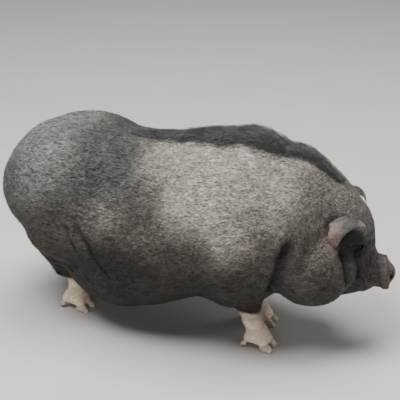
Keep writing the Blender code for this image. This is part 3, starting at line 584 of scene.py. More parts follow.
def mouth_line():
    """Places on the skin along the line of the mouth, from the right corner round to the left."""
    line = []
    for side in (-1, 1):
        half = []
        for x, angle, z in MOUTH_SIDE:
            angle = math.radians(angle)
            out = head_direction((math.cos(angle), math.sin(angle), 0), side)
            half.append(first_skin(head_place((x, 0, z), side), out))
        line += half if side < 0 else half[::-1]
    line.insert(len(MOUTH_SIDE), head_place(MOUTH_FRONT, 1))
    return line


# The skin as seen: finer folds on the same form, a coat's depth inside the solids.

COAT_DEPTH = 0.0012
SKIN_STEP = 0.0066
SKIN_LOW, SKIN_HIGH = (-0.60, -0.32, -0.03), (0.60, 0.34, 0.62)
NEWTON_ROUNDS = 4

# Where the face is modelled finely, in the head's own frame.
FINE_FROM, FINE_LOW = 0.14, 0.10

# Snout rings: place along the snout and depth; they slant, waver and fade below and above.
SNOUT_RINGS = (
    (0.204, 0.0026), (0.214, 0.0030), (0.224, 0.0034), (0.234, 0.0030), (0.244, 0.0026), (0.252, 0.0016),
)
RING_WIDTH, RING_SLANT, RING_WAVE = 0.0030, 0.10, 0.0012
RINGS_LOW, RINGS_LOW_FADE = 0.185, 0.02
RINGS_HIGH, RINGS_HIGH_FADE = 0.300, 0.03
SOCKET_GAP = 0.0004
LID_BLEND = 0.0022
NOSTRIL_FORWARDS = 0.009
NOSTRIL_BLEND = 0.003
LIP_BLEND = 0.004
MOUTH_CUT, MOUTH_CUT_WIDTH, MOUTH_CUT_FROM = 0.0065, 0.0024, 0.16

# The snout's disc is dished in a ring, from a little behind its face.
DISH_DEPTH, DISH_RADIUS, DISH_WIDTH = 0.0022, 0.026, 0.012
DISH_FROM, DISH_FADE = 0.004, 0.003

# Sleeve wrinkles on the lower legs: lowest and highest level by pair, and how much they slant.
SLEEVES = {"front": (0.078, 0.150, 0.30), "rear": (0.094, 0.140, -0.25)}
SLEEVE_REACH = 0.11
SLEEVE_SPACING = 0.0155
SLEEVE_DEPTH = 0.0022
SLEEVE_LOW_FADE, SLEEVE_HIGH_FADE = 0.010, 0.012

# Folds: lines on the left side with depth and width. Head folds are in the head's own frame.
BODY_FOLDS = (
    (BODY_CREASES[0][0], 0.013, 0.0065),
    (BODY_CREASES[1][0], 0.013, 0.0075),
    (BODY_CREASES[2][0], 0.008, 0.0060),
    (((-0.290, 0.212, 0.330), (-0.280, 0.222, 0.290), (-0.250, 0.232, 0.250)), 0.0060, 0.0060),
    (((-0.395, 0.150, 0.200), (-0.350, 0.165, 0.160), (-0.300, 0.170, 0.158)), 0.0100, 0.0065),
    (((-0.400, 0.110, 0.165), (-0.355, 0.135, 0.142), (-0.310, 0.130, 0.140)), 0.0070, 0.0055),
    (((0.100, 0.175, 0.150), (0.160, 0.178, 0.156), (0.225, 0.160, 0.170)), 0.0080, 0.0060),
    (((0.110, 0.140, 0.128), (0.165, 0.150, 0.130), (0.225, 0.135, 0.145)), 0.0070, 0.0055),
    (((0.128, 0.110, 0.108), (0.170, 0.135, 0.110), (0.215, 0.120, 0.122)), 0.0055, 0.0045),
)
HEAD_FOLDS = (
    (HEAD_CREASES[0][0], 0.026, 0.0115),
    (HEAD_CREASES[1][0], 0.016, 0.0075),
    (HEAD_CREASES[2][0], 0.010, 0.0060),
    (((0.178, 0.085, 0.330), (0.196, 0.080, 0.324), (0.213, 0.062, 0.316)), 0.0045, 0.0040),
    (((0.182, 0.088, 0.292), (0.200, 0.076, 0.286), (0.214, 0.062, 0.292)), 0.0045, 0.0040),
    (((0.205, 0.066, 0.345), (0.222, 0.040, 0.340), (0.230, 0.000, 0.338)), 0.0035, 0.0045),
    (((0.212, 0.060, 0.325), (0.228, 0.034, 0.312), (0.234, 0.000, 0.306)), 0.0040, 0.0045),
    (((0.196, 0.060, 0.232), (0.210, 0.056, 0.215), (0.222, 0.045, 0.200)), 0.0030, 0.0040),
    (((0.120, 0.165, 0.250), (0.110, 0.170, 0.222), (0.090, 0.150, 0.196)), 0.0040, 0.0060),
)
FOLD_REACH = 0.045
FOLD_SLOPE_STEP = 0.018
FOLD_FADE = 0.18


def with_outs(lines, form):
    """Each fold with the outward direction at each of its points, from the form's wide slope."""
    made = []
    for points, depth, width in lines:
        points = np.array(points)
        made.append((points, outward(form, points, FOLD_SLOPE_STEP), depth, width))
    return made


def fold_profile(p, points, outs, width):
    """How deep in one fold each place lies, from 0 to 1, by its distance from the line along the skin."""
    share = np.zeros(len(p))
    near = ((p > points.min(0) - FOLD_REACH) & (p < points.max(0) + FOLD_REACH)).all(-1)
    q = p[near]
    best, place = np.full(len(q), 1.0), np.zeros(len(q))
    for k in range(len(points) - 1):
        t, away = beside(q, points[k], points[k + 1])
        out = outs[k] * (1 - t)[:, None] + outs[k + 1] * t[:, None]
        rise = (away * out).sum(-1)
        lateral = size_of(away - rise[:, None] * out) + np.maximum(np.abs(rise) - FOLD_REACH, 0)
        nearer = lateral < best
        best = np.where(nearer, lateral, best)
        place = np.where(nearer, (k + t) / (len(points) - 1), place)
    ends = eased(np.clip(np.minimum(place, 1 - place) / FOLD_FADE, 0.0, 1))
    share[near] = ends * np.exp(-((best / width) ** 1.5))
    return share


def each_fold(p):
    """Every fold: what fold_profile takes before the width, then the fold's depth and width."""
    for place, lines in ((p, BODY_LINES), (body_to_head(p), HEAD_LINES)):
        mirrored = on_left(place)
        for points, outs, depth, width in lines:
            yield (mirrored, points, outs), depth, width


def limb_rings(p):
    """Soft sleeve wrinkles round the lower legs."""
    total = np.zeros(len(p))
    for leg, (hx, hy) in HEELS.items():
        near = np.sqrt((p[:, 0] - hx) ** 2 + (p[:, 1] - hy) ** 2)
        low, high, slant = SLEEVES[leg.split("_")[0]]
        level = p[:, 2] + slant * (p[:, 0] - hx)
        band = np.clip((level - low) / SLEEVE_LOW_FADE, 0, 1)
        band *= np.clip((high - level) / SLEEVE_HIGH_FADE, 0, 1)
        wave = np.maximum(np.sin(level * 2 * math.pi / SLEEVE_SPACING), 0) ** 2
        total += np.where(near < SLEEVE_REACH, band * wave * SLEEVE_DEPTH, 0)
    return total


BROAD_FAT, NARROW_FAT = 0.0009, 0.0004


def fat(p):
    """Slow, shallow unevenness of a fat flank."""
    a = np.sin(p[:, 0] * 61 + 2 * np.sin(p[:, 2] * 23)) * np.sin(p[:, 2] * 57 + p[:, 1] * 31 + 1.3)
    b = np.sin(p[:, 0] * 131 + p[:, 2] * 77 + 0.7) * np.sin(p[:, 2] * 143 - p[:, 1] * 91)
    return BROAD_FAT * a + NARROW_FAT * b


def fine_face(f, value):
    """The face's skin with its snout rings, sockets, lids, nostrils and mouth, in the head's own frame."""
    x, y, z = f[:, 0], f[:, 1], f[:, 2]
    above = np.clip((z - RINGS_LOW) / RINGS_LOW_FADE, 0, 1)
    above *= np.clip((RINGS_HIGH - z) / RINGS_HIGH_FADE, 0, 1)
    rings = np.zeros(len(f))
    for ring, depth in SNOUT_RINGS:
        bent = x + RING_SLANT * (z - SNOUT_HEIGHT) + RING_WAVE * np.sin(y * 190 + ring * 900)
        rings += above * depth * np.exp(-(((bent - ring) / RING_WIDTH) ** 2))
    value = value + rings
    across, lift, *pit_radii = NOSTRIL
    for side in SIDES.values():
        centre = body_to_head(EYES[side][0][None])[0]
        value = np.maximum(value, EYE_RADIUS + SOCKET_GAP - size_of(f - centre))
        for line, radii in LID_LINES[side]:
            for k in range(len(line) - 1):
                value = joined(value, cone(f, line[k], line[k + 1], radii[k], radii[k + 1]), LID_BLEND)
        half_width, half_height, deep = pit_radii
        pit = (SNOUT_TIP + NOSTRIL_FORWARDS, side * across, SNOUT_HEIGHT + lift)
        value = -joined(-value, ball(f, pit, (deep, half_width, half_height)), NOSTRIL_BLEND)
    mouth_away, _ = distance_to_line(f, MOUTH)
    value = joined(value, mouth_away - LIP_RADIUS, LIP_BLEND)
    value += MOUTH_CUT * np.exp(-((mouth_away / MOUTH_CUT_WIDTH) ** 2)) * (x > MOUTH_CUT_FROM)
    rim = np.sqrt(y**2 + (z - SNOUT_HEIGHT) ** 2)
    on_disc = np.clip((x - SNOUT_TIP - DISH_FROM) / DISH_FADE, 0, 1)
    return value + on_disc * DISH_DEPTH * np.exp(-(((rim - DISH_RADIUS) / DISH_WIDTH) ** 2))


def fine_skin(p):
    """Signed distance of the skin as it is seen, in the pig's own frame."""
    d = flesh(p) + COAT_DEPTH
    q = body_to_head(p)
    d += fat(p) + limb_rings(p)
    for fold, depth, width in each_fold(p):
        d += depth * fold_profile(*fold, width)
    face = (q[:, 0] > FINE_FROM) & (q[:, 2] > FINE_LOW)
    d[face] = fine_face(q[face], d[face])
    return d


# Lids: how far the upper and the lower one rise over the eye, and how fat they are.
LIDS = ((0.62, 1.25), (-0.40, 1.0))
LID_POINTS = 9
LID_ACROSS, LID_OUT, LID_PROUD = 1.05, 0.62, 0.35


def lid_lines(side):
    """The two lids' lines in the head's own frame, with their radii."""
    centre, out, forward, up = EYES[side]
    made = []
    for lift, fatness in LIDS:
        line, radii = [], []
        for a in np.linspace(0, math.pi, LID_POINTS):
            way = forward * math.cos(a) * LID_ACROSS + up * lift * math.sin(a)
            way = unit(way + out * (LID_OUT * math.sin(a) + LID_PROUD))
            line.append(centre + way * (EYE_RADIUS + SOCKET_GAP))
            radii.append(LID_RADIUS * fatness * (0.7 + 0.3 * math.sin(a)))
        made.append((body_to_head(np.array(line)), radii))
    return made


BODY_LINES = with_outs(BODY_FOLDS, flesh)
HEAD_LINES = with_outs(HEAD_FOLDS, lambda q: flesh(np.array([head_to_body(v) for v in q])))
EYES = {side: eye_frame(side) for side in SIDES.values()}
LID_LINES = {side: lid_lines(side) for side in SIDES.values()}
MOUTH = body_to_head(np.array(mouth_line()))

# The form's own frame is carried to the shared one by the right eye's place, and stays on the floor.
low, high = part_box("eye_right")
SHIFT = np.array((low + high) / 2) - EYES[-1.0][0]
SHIFT[2] = 0.0


def linked(name, data):
    """A new object in the scene."""
    obj = bpy.data.objects.new(name, data)
    bpy.context.scene.collection.objects.link(obj)
    return obj


def smoothed(mesh):
    """Shades the mesh smooth."""
    mesh.polygons.foreach_set("use_smooth", np.ones(len(mesh.polygons), bool))


def dressed(mesh, material):
    """Shades the mesh smooth, all in one material."""
    smoothed(mesh)
    mesh.materials.clear()
    mesh.materials.append(material)


@contextlib.contextmanager
def editing(mesh):
    """The mesh as a bmesh, written back at the end."""
    bm = bmesh.new()
    bm.from_mesh(mesh)
    yield bm
    bm.to_mesh(mesh)
    bm.free()


def raw_mesh(name, points, faces):
    """A smooth closed mesh with its faces turned outwards."""
    mesh = bpy.data.meshes.new(name)
    mesh.from_pydata([tuple(p) for p in points], [], [tuple(f) for f in faces])
    mesh.validate()
    obj = linked(name, mesh)
    smoothed(mesh)
    with editing(mesh) as bm:
        bmesh.ops.recalc_face_normals(bm, faces=bm.faces)
    return obj


def read(items, name, width, kind=float):
    """One property of all items of a mesh, a row for each."""
    values = np.zeros(len(items) * width, kind)
    items.foreach_get(name, values)
    return values.reshape(-1, width)


def write(items, name, values, kind=np.float32):
    items.foreach_set(name, np.ascontiguousarray(values, kind).ravel())


def vertices_of(obj):
    return read(obj.data.vertices, "co", 3)


def set_vertices(obj, co):
    write(obj.data.vertices, "co", co)
    obj.data.update()


# Settling: how far ahead the slope is felt, the least slope, the longest move and the share of it made.
FEEL_STEP = 0.0008
LEAST_SLOPE = 0.5
LONGEST_MOVE = 0.003
MOVE_SHARE = 0.9


def settle_on(obj, field, rounds):
    """Moves each vertex along its normal until it lies on the field's surface."""
    co = vertices_of(obj)
    for _ in range(rounds):
        normal = read(obj.data.vertex_normals, "vector", 3)
        value = field(co)
        slope = (field(co + FEEL_STEP * normal) - value) / FEEL_STEP
        move = np.clip(-value / np.maximum(slope, LEAST_SLOPE), -LONGEST_MOVE, LONGEST_MOVE)
        co = co + move[:, None] * normal * MOVE_SHARE
        set_vertices(obj, co)


def refine(obj, inside):
    """Splits the faces whose middles the test picks into four."""
    with editing(obj.data) as bm:
        chosen = inside(np.array([f.calc_center_median() for f in bm.faces]))
        bm.faces.ensure_lookup_table()
        edges = {e for k in np.nonzero(chosen)[0] for e in bm.faces[k].edges}
        bmesh.ops.subdivide_edges(bm, edges=list(edges), cuts=1, use_grid_fill=True)


# Where the skin is split finer: p is in the body's frame and q in the head's.

FACE_FROM, FACE_HALF, FACE_LOW, FACE_HIGH = 0.115, 0.125, 0.14, 0.42
FEET_BELOW = 0.125
DEEP_FOLD, FOLD_WIDER, IN_FOLD = 0.0055, 1.6, 0.22
BEHIND_EYES = 0.165
ROUND_EYE, AT_EYE = 0.030, 0.0185
MUZZLE_FROM, MUZZLE_BELOW = 0.196, 0.350
MOUTH_FROM, MOUTH_BELOW = 0.165, 0.215


def near_face(p):
    q = body_to_head(p)
    middle = (q[:, 0] > FACE_FROM) & (np.abs(q[:, 1]) < FACE_HALF)
    return middle & (q[:, 2] > FACE_LOW) & (q[:, 2] < FACE_HIGH)


def near_feet(p):
    return p[:, 2] < FEET_BELOW


def near_folds(p):
    """In or beside a deep fold, but behind the eyes, where the skin is fine already."""
    deep = np.zeros(len(p), bool)
    for fold, depth, width in each_fold(p):
        if depth > DEEP_FOLD:
            deep |= fold_profile(*fold, width * FOLD_WIDER) > IN_FOLD
    return deep & (body_to_head(p)[:, 0] < BEHIND_EYES)


def near_eyes(p, reach=AT_EYE):
    return np.minimum(*(size_of(p - eye[0]) for eye in EYES.values())) < reach


def near_muzzle(p):
    q = body_to_head(p)
    muzzle = (q[:, 0] > MUZZLE_FROM) & (q[:, 2] < MUZZLE_BELOW)
    mouth = (q[:, 0] > MOUTH_FROM) & (q[:, 2] < MOUTH_BELOW)
    return muzzle | mouth | near_eyes(p, ROUND_EYE)


def make_skin():
    points, quads = surface_of(lambda p: flesh(p) + COAT_DEPTH, SKIN_LOW, SKIN_HIGH, SKIN_STEP)
    obj = raw_mesh("skin", points, quads)
    for inside in (near_face, near_feet, near_muzzle, near_folds):
        refine(obj, inside)
    settle_on(obj, fine_skin, 2)
    refine(obj, near_folds)
    refine(obj, near_eyes)
    settle_on(obj, fine_skin, NEWTON_ROUNDS)
    return obj


# Ears

EAR_SCENE_ROWS = 30
EAR_SCENE_COLUMNS = 40


def ear_mesh(side):
    """One ear as a closed mesh, with the points of its outer and of its inner sheet."""
    outer, inner = ear_sheets(side, EAR_SCENE_ROWS, EAR_SCENE_COLUMNS)
    rows, n = EAR_SCENE_ROWS + 1, EAR_SCENE_COLUMNS + 1
    points = np.array(outer + inner).reshape(-1, 3)
    lift = rows * n
    faces = []
    for i in range(rows - 1):
        for j in range(n - 1):
            a, b, c, d = i * n + j, i * n + j + 1, (i + 1) * n + j + 1, (i + 1) * n + j
            faces.append((a, b, c, d))
            faces.append((a + lift, d + lift, c + lift, b + lift))
    edge = [i * n for i in range(rows)] + [(rows - 1) * n + j for j in range(1, n)]
    edge += [i * n + n - 1 for i in range(rows - 2, -1, -1)] + [j for j in range(n - 2, 0, -1)]
    for k, a in enumerate(edge):
        b = edge[(k + 1) % len(edge)]
        faces.append((a, a + lift, b + lift, b))
    return raw_mesh("ear", points, faces), points[:lift], points[lift:]


def apply_modifiers(obj):
    graph = bpy.context.evaluated_depsgraph_get()
    mesh = bpy.data.meshes.new_from_object(obj.evaluated_get(graph))
    obj.modifiers.clear()
    obj.data = mesh


def fuse(obj, others):
    """Makes one closed mesh of an object and others."""
    group = bpy.data.collections.new("fuse")
    bpy.context.scene.collection.children.link(group)
    for other in others:
        bpy.context.scene.collection.objects.unlink(other)
        group.objects.link(other)
    triangles = obj.modifiers.new("triangles", "TRIANGULATE")
    triangles.quad_method = "SHORTEST_DIAGONAL"
    union = obj.modifiers.new("union", "BOOLEAN")
    union.operation = "UNION"
    union.solver = "MANIFOLD"
    union.operand_type = "COLLECTION"
    union.collection = group
    apply_modifiers(obj)
    for other in others:
        bpy.data.objects.remove(other)
    bpy.data.collections.remove(group)


def soften(obj, weight, rounds):
    """Relaxes vertices towards their neighbours' middle, by weight."""
    edges = read(obj.data.edges, "vertices", 2, int)
    co = vertices_of(obj)
    count = np.bincount(edges.ravel(), minlength=len(co))[:, None]
    for _ in range(rounds):
        total = np.zeros_like(co)
        np.add.at(total, edges[:, 0], co[edges[:, 1]])
        np.add.at(total, edges[:, 1], co[edges[:, 0]])
        co = co + weight[:, None] * 0.5 * (total / np.maximum(count, 1) - co)
    set_vertices(obj, co)


TAIL_LINE = (
    (-0.520, 0.0, 0.415), (-0.552, 0.0, 0.392), (-0.566, 0.001, 0.345), (-0.564, 0.003, 0.290),
    (-0.556, 0.005, 0.245),
)
TAIL_RADII = (0.015, 0.0145, 0.012, 0.009, 0.006)
TAIL_RINGS, TAIL_SIDES = 28, 16


def tail_mesh():
    rings, sides = TAIL_RINGS, TAIL_SIDES
    line = np.array(TAIL_LINE)
    count = len(line) - 1
    points = []
    for i in range(rings + 1):
        t = i / rings * count
        k = min(int(t), count - 1)
        u = eased(t - k)
        centre = line[k] * (1 - u) + line[k + 1] * u
        radius = TAIL_RADII[k] * (1 - u) + TAIL_RADII[k + 1] * u
        radius *= 1 + 0.05 * math.sin(i * 2.1)
        along = unit(line[k + 1] - line[k])
        across = unit(np.cross(along, (0, 1, 0)))
        other = np.cross(along, across)
        for j in range(sides):
            a = 2 * math.pi * j / sides
            points.append(centre + (radius - COAT_DEPTH) * (math.cos(a) * across + math.sin(a) * other))
    faces = []
    for i in range(rings):
        for j in range(sides):
            a, b = i * sides + j, i * sides + (j + 1) % sides
            faces.append((a, b, b + sides, a + sides))
    faces += [range(sides), range(rings * sides, (rings + 1) * sides)[::-1]]
    return raw_mesh("tail_flesh", points, faces)


# Markings, with light and shade painted in: the same colours for the skin and the bristles, by place. Each
# soft step says where a zone begins and where it is full, in metres along the body, above the floor or
# along the head.


NOISE_WAVES, NOISE_SIZE = 7, 4.2


def noise(p, scale, seed):
    """A cheap smooth noise from sines, from -1 to 1."""
    rng = np.random.default_rng(seed)
    total = np.zeros(len(p))
    for _ in range(NOISE_WAVES):
        way = rng.normal(size=3)
        way *= rng.uniform(0.6, 1.5) / np.linalg.norm(way)
        total += np.sin(p @ way * scale * 2 * math.pi + rng.uniform(0, 6.28))
    return np.clip(total / NOISE_SIZE, -1, 1)


def step(start, end, x):
    """A soft step from 0 at the start to 1 at the end."""
    return eased(np.clip((x - start) / (end - start), 0, 1))


def mix(a, b, t):
    return a * (1 - t[:, None]) + np.array(b) * t[:, None]


def painted(colour, coats):
    """Colours with each coat, a colour and its share by place, laid over the last."""
    for paint, share in coats:
        colour = mix(colour, paint, share)
    return colour


# Painted shade in the folds: faint for shallow folds, full from this depth, over a band wider than the fold
# itself.
FAINT_FOLD, DARK_FOLD_DEPTH, FOLD_SHADE_WIDER = 0.2, 0.024, 1.5


def folds(p):
    """How deep in a fold each place lies, from 0 to 1."""
    deep = np.zeros(len(p))
    for fold, depth, width in each_fold(p):
        strength = min(1.0, FAINT_FOLD + depth / DARK_FOLD_DEPTH)
        deep = np.maximum(deep, strength * fold_profile(*fold, width * FOLD_SHADE_WIDER))
    return deep


# The spine as seen from above: straight along the trunk, then nearly along the turned head.
SPINE_FOLLOWS = 0.9
SPINE_SEARCH = (0.60, 0.30, 121)

# The mane's half width along the back: narrow behind, widest over the shoulders.
MANE_X = (-0.20, -0.15, -0.04, 0.06, 0.18, 0.27, 0.36, 0.42)
MANE_WIDTHS = (0.004, 0.016, 0.034, 0.052, 0.056, 0.044, 0.024, 0.008)


def spine_y(x):
    return np.maximum(x - HEAD_PIVOT, 0) * math.tan(HEAD_TURN) * SPINE_FOLLOWS


def spine_height(x):
    """Height of the skin over the spine."""
    z = np.linspace(*SPINE_SEARCH)
    value = flesh(np.stack([np.full_like(z, x), np.full_like(z, spine_y(x)), z], -1))
    k = int(np.argmax(value < 0))
    share = value[k - 1] / (value[k - 1] - value[k])
    return z[k - 1] + share * (z[k] - z[k - 1])


def mane_half(x):
    return np.interp(x, MANE_X, MANE_WIDTHS)


GREY = (0.104, 0.094, 0.080)
# Paler over the upper ribs and shoulder: partly the hide's own colour, partly painted sunlight on the top
# of the body.
PALE_AND_SUNLIT = (0.215, 0.196, 0.166)
# Painted sheen: a cool grey highlight on the upper rump.
RUMP_SHEEN = (0.108, 0.107, 0.103)
# Painted shade: a darker band over the back, in the shallow hollow between rump and ribs.
BACK_HOLLOW_SHADE = (0.039, 0.037, 0.035)
# Brown of the lower body and lower rump, darker towards the bottom: partly the hide's own brown, partly
# painted shade.
LOW_BROWN_AND_SHADE = (0.019, 0.0145, 0.0105)
# Painted shade on the belly, behind the elbow, in the flank hollow and under the jowl.
UNDER_SHADE = (0.013, 0.010, 0.008)
FACE_BROWN = (0.050, 0.042, 0.036)
PINK = (0.860, 0.680, 0.510)
CREAM = (0.880, 0.740, 0.530)
FOOT_TOP = (0.360, 0.310, 0.245)
EAR_GREY = (0.036, 0.034, 0.033)
EAR_PINK = (0.135, 0.095, 0.083)
EAR_RIM = (0.230, 0.200, 0.180)
# Painted shade: the inner sheet of each ear, inside its cup, near black.
EAR_CUP_SHADE = (0.010, 0.007, 0.006)
SNOUT_GREY = (0.047, 0.040, 0.036)
SNOUT_DISC = (0.075, 0.056, 0.050)
# Painted shade, near black: round the eyes under the ears' hoods, on the cheek under each ear, in the folds
# and in a line over each ear's base.
DEEP_SHADE = (0.006, 0.005, 0.006)
MANE_DARK = (0.022, 0.024, 0.028)
MANE_HAIR = (0.035, 0.0355, 0.038)
MANE_GREY_HAIR = (0.11, 0.105, 0.10)
TASSEL_HAIR = (0.024, 0.024, 0.027)

# Centres of shaded places: the hollows behind the elbow and along the belly, seen from the side,
# and the place under the ear in the head's own frame, on the left.
ELBOW = (0.095, 0.215)
FLANK_HOLLOW = (-0.16, 0.225)
UNDER_EAR = (0.172, 0.100, 0.335)
FOOT_TOPS = {"front": 0.104, "rear": 0.106}


def foot_share(p):
    """How far each place belongs to a pale foot, from 0 to 1."""
    x, z = p[:, 0], p[:, 2]
    wave = 0.012 * noise(p, 15.0, 12)
    feet = np.zeros(len(p))
    for leg, (hx, hy) in HEELS.items():
        near = step(0.072, 0.056, np.sqrt((x - hx - 0.01) ** 2 + (p[:, 1] - hy) ** 2))
        top = FOOT_TOPS[leg.split("_")[0]]
        feet = np.maximum(feet, near * step(top + 0.010, top - 0.016, z + wave + 0.06 * (x - hx)))
    return feet


def markings(p):
    """Colour of the skin by place, with light and shade painted in: paler over the ribs, partly painted
    sunlight; a cool painted sheen on the rump; brown below, darker towards the bottom, partly painted
    shade; painted shade over the back's hollow, on the belly, behind the elbow, in the flank hollow, under
    the jowl, round the eyes, under the ears and in the folds.
    """
    q = body_to_head(p)
    x, z = p[:, 0], p[:, 2]
    slow, quick = noise(p, 4.5, 11), noise(p, 15.0, 12)
    wavy_x, wavy_z = x + 0.04 * slow, z + 0.05 * slow
    at_side = step(0.10, 0.15, np.abs(p[:, 1]))
    elbow = step(0.062, 0.020, np.sqrt((x - ELBOW[0]) ** 2 + (z - ELBOW[1]) ** 2)) * at_side
    along, above = (x - FLANK_HOLLOW[0]) / 1.7, z - FLANK_HOLLOW[1]
    hollow = step(0.110, 0.030, np.sqrt(along**2 + above**2)) * at_side
    colour = painted(np.repeat(np.array(GREY)[None], len(p), 0), (
        # Paler over the upper ribs and shoulder, partly painted sunlight.
        (PALE_AND_SUNLIT, step(-0.21, 0.01, wavy_x) * step(0.37, 0.22, x) * step(0.29, 0.45, wavy_z)),
        # Painted sheen on the upper rump.
        (RUMP_SHEEN, step(-0.24, -0.38, x + 0.05 * slow) * step(0.30, 0.44, z)),
        # Painted shade in the hollow over the back.
        (BACK_HOLLOW_SHADE, step(-0.35, -0.25, x) * step(-0.01, -0.19, wavy_x) * step(0.30, 0.46, z) * 0.95),
        # Lower body and lower rump: the hide's brown, partly painted shade.
        (LOW_BROWN_AND_SHADE, step(0.47, 0.23, wavy_z) * (1 - 0.28 * step(0.20, 0.28, x)) * 0.93),
        (LOW_BROWN_AND_SHADE, step(-0.26, -0.34, x) * step(0.40, 0.28, z) * 0.7),
        # Painted shade on the belly, behind the elbow, in the flank hollow and under the jowl.
        (UNDER_SHADE, step(0.20, 0.10, z + 0.02 * slow) * step(0.3, 0.2, x)),
        (FACE_BROWN, step(0.165, 0.200, q[:, 0]) * step(0.40, 0.33, z) * 0.75),
        (UNDER_SHADE, np.maximum(elbow, hollow) * 0.9),
        (UNDER_SHADE, step(0.27, 0.17, z + 0.02 * slow) * step(0.22, 0.30, x) * 0.30),
    ))
    for side in SIDES.values():
        # Painted shade, near black: round each eye, which lies under the ear's hood, and on the cheek under
        # each ear.
        colour = painted(colour, (
            (DEEP_SHADE, step(0.050, 0.020, size_of(p - EYES[side][0])) * 0.92),
            (DEEP_SHADE, step(0.058, 0.034, size_of(q - np.array(UNDER_EAR) * (1, side, 1))) * 0.9),
        ))
    colour = colour * (1 + 0.12 * slow + 0.14 * quick)[:, None]
    across = np.abs(p[:, 1] - spine_y(x)) / mane_half(x) + 0.35 * quick
    mane = step(1.25, 0.45, across) * step(0.36, 0.44, z) * step(-0.22, -0.15, x) * step(0.43, 0.38, x)
    muzzle = step(0.196, 0.212, q[:, 0]) * step(0.150, 0.165, z) * step(0.285, 0.262, z)
    feet = foot_share(p)
    colour = painted(colour, (
        (MANE_DARK, mane * 0.85),
        (SNOUT_GREY, muzzle * (0.85 + 0.15 * quick)),
        (SNOUT_DISC, step(0.262, 0.272, q[:, 0]) * 0.8),
        (PINK, feet),
        (CREAM, feet * step(0.06, 0.03, z) * 0.6),
        (FOOT_TOP, feet * step(0.076, 0.100, z + 0.01 * slow) * 0.75),
        (FOOT_TOP, feet * step(0.2, 0.8, noise(p, 22.0, 17)) * 0.3),
        # Painted shade in the folds, half as strong on the pale feet.
        (DEEP_SHADE, folds(p) * (1 - 0.5 * feet) * 0.9),
    ))
    return np.clip(colour, 0.004, 1)


def paint_points(obj, colour, calm=0.0):
    """Colours per vertex; the fourth number says how calm the hide is there, from 0 rough to 1 smooth."""
    data = np.zeros((len(colour), 4))
    data[:, :3] = colour
    data[:, 3] = calm
    write(obj.data.color_attributes.new("tint", "FLOAT_COLOR", "POINT").data, "color", data)


# Coat: bristles as thin tapered blades, each a closed body that starts a little under the skin.

BLADE_CORNERS = ((-1.0, -0.35), (1.0, -0.35), (0.0, 0.65))
BLADE_ROOT = 0.0022
BLADE_TAPER = 0.55
BLADE_DROOP = 0.30
ROOT_SHADE, TIP_SHADE = 0.72, 1.08
MAP_HALF, MAP_TILT = 0.0014, 0.0004


def blades(name, roots, outs, lies, lengths, widths, lifts, bends, colours, uvs, rings=2):
    """Many tapered, bent bristles in one mesh, with the bake's map beside each root."""
    lies = lies - (lies * outs).sum(-1, keepdims=True) * outs
    lies /= np.linalg.norm(lies, axis=-1, keepdims=True)
    across = np.cross(outs, lies)
    verts, shade, flat = [], [], []
    for t in np.arange(rings) / rings:
        rise = (BLADE_ROOT + lifts) * np.sin(min(t * 1.4, 1.0) * math.pi / 2) - BLADE_ROOT
        rise -= BLADE_DROOP * lifts * t**3
        bent = across * (bends * lengths * t * t)[:, None]
        centre = roots + outs * rise[:, None] + lies * (lengths * t)[:, None] + bent
        half = 0.5 * widths * (1 - BLADE_TAPER * t)
        for a, b in BLADE_CORNERS:
            verts.append(centre + across * (half * a)[:, None] + outs * (half * b)[:, None])
            shade.append(colours * (ROOT_SHADE + (1 - ROOT_SHADE) * t))
            flat.append(uvs + np.array((MAP_HALF * a, MAP_HALF * (2 * t - 1) + MAP_TILT * b)))
    tip = roots + outs * (lifts * (1 - BLADE_DROOP))[:, None] + lies * lengths[:, None]
    verts.append(tip + across * (bends * lengths)[:, None])
    shade.append(colours * TIP_SHADE)
    flat.append(uvs + np.array((0.0, MAP_HALF)))
    verts, shade = (np.stack(part, 1).reshape(-1, 3) for part in (verts, shade))
    flat = np.stack(flat, 1).reshape(-1, 2)
    sides = len(BLADE_CORNERS)
    per = rings * sides + 1
    one = [(0, 2, 1)]
    for k in range(rings):
        for j in range(sides):
            a, b = k * sides + j, k * sides + (j + 1) % sides
            one += [(a, b, b + sides), (a, b + sides, a + sides)] if k < rings - 1 else [(a, b, per - 1)]
    tris = (np.array(one)[None] + (np.arange(len(roots)) * per)[:, None, None]).reshape(-1, 3)
    mesh = bpy.data.meshes.new(name)
    mesh.vertices.add(len(verts))
    write(mesh.vertices, "co", verts + SHIFT)
    mesh.loops.add(tris.size)
    write(mesh.loops, "vertex_index", tris, np.int32)
    mesh.polygons.add(len(tris))
    write(mesh.polygons, "loop_start", np.arange(0, tris.size, 3), np.int32)
    mesh.update(calc_edges=True)
    dressed(mesh, bristle_material)
    write(mesh.uv_layers.new(name="OFBake").data, "uv", flat[tris.ravel()])
    obj = linked(name, mesh)
    paint_points(obj, np.clip(shade, 0.002, 1))
    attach(obj, "root")
    return obj


def sampled(rng, co, tris, weight, count):
    """Random places on the skin, with the outward direction there."""
    a, b, c = co[tris[:, 0]], co[tris[:, 1]], co[tris[:, 2]]
    normal = np.cross(b - a, c - a)
    size = np.linalg.norm(normal, axis=-1)
    normal /= np.maximum(size, 1e-12)[:, None]
    share = size * weight((a + b + c) / 3, normal)
    pick = rng.choice(len(tris), count, p=share / share.sum())
    u, v = rng.random(count), rng.random(count)
    over = u + v > 1
    u[over], v[over] = 1 - u[over], 1 - v[over]
    place = a[pick] + u[:, None] * (b - a)[pick] + v[:, None] * (c - a)[pick]
    return place, normal[pick]


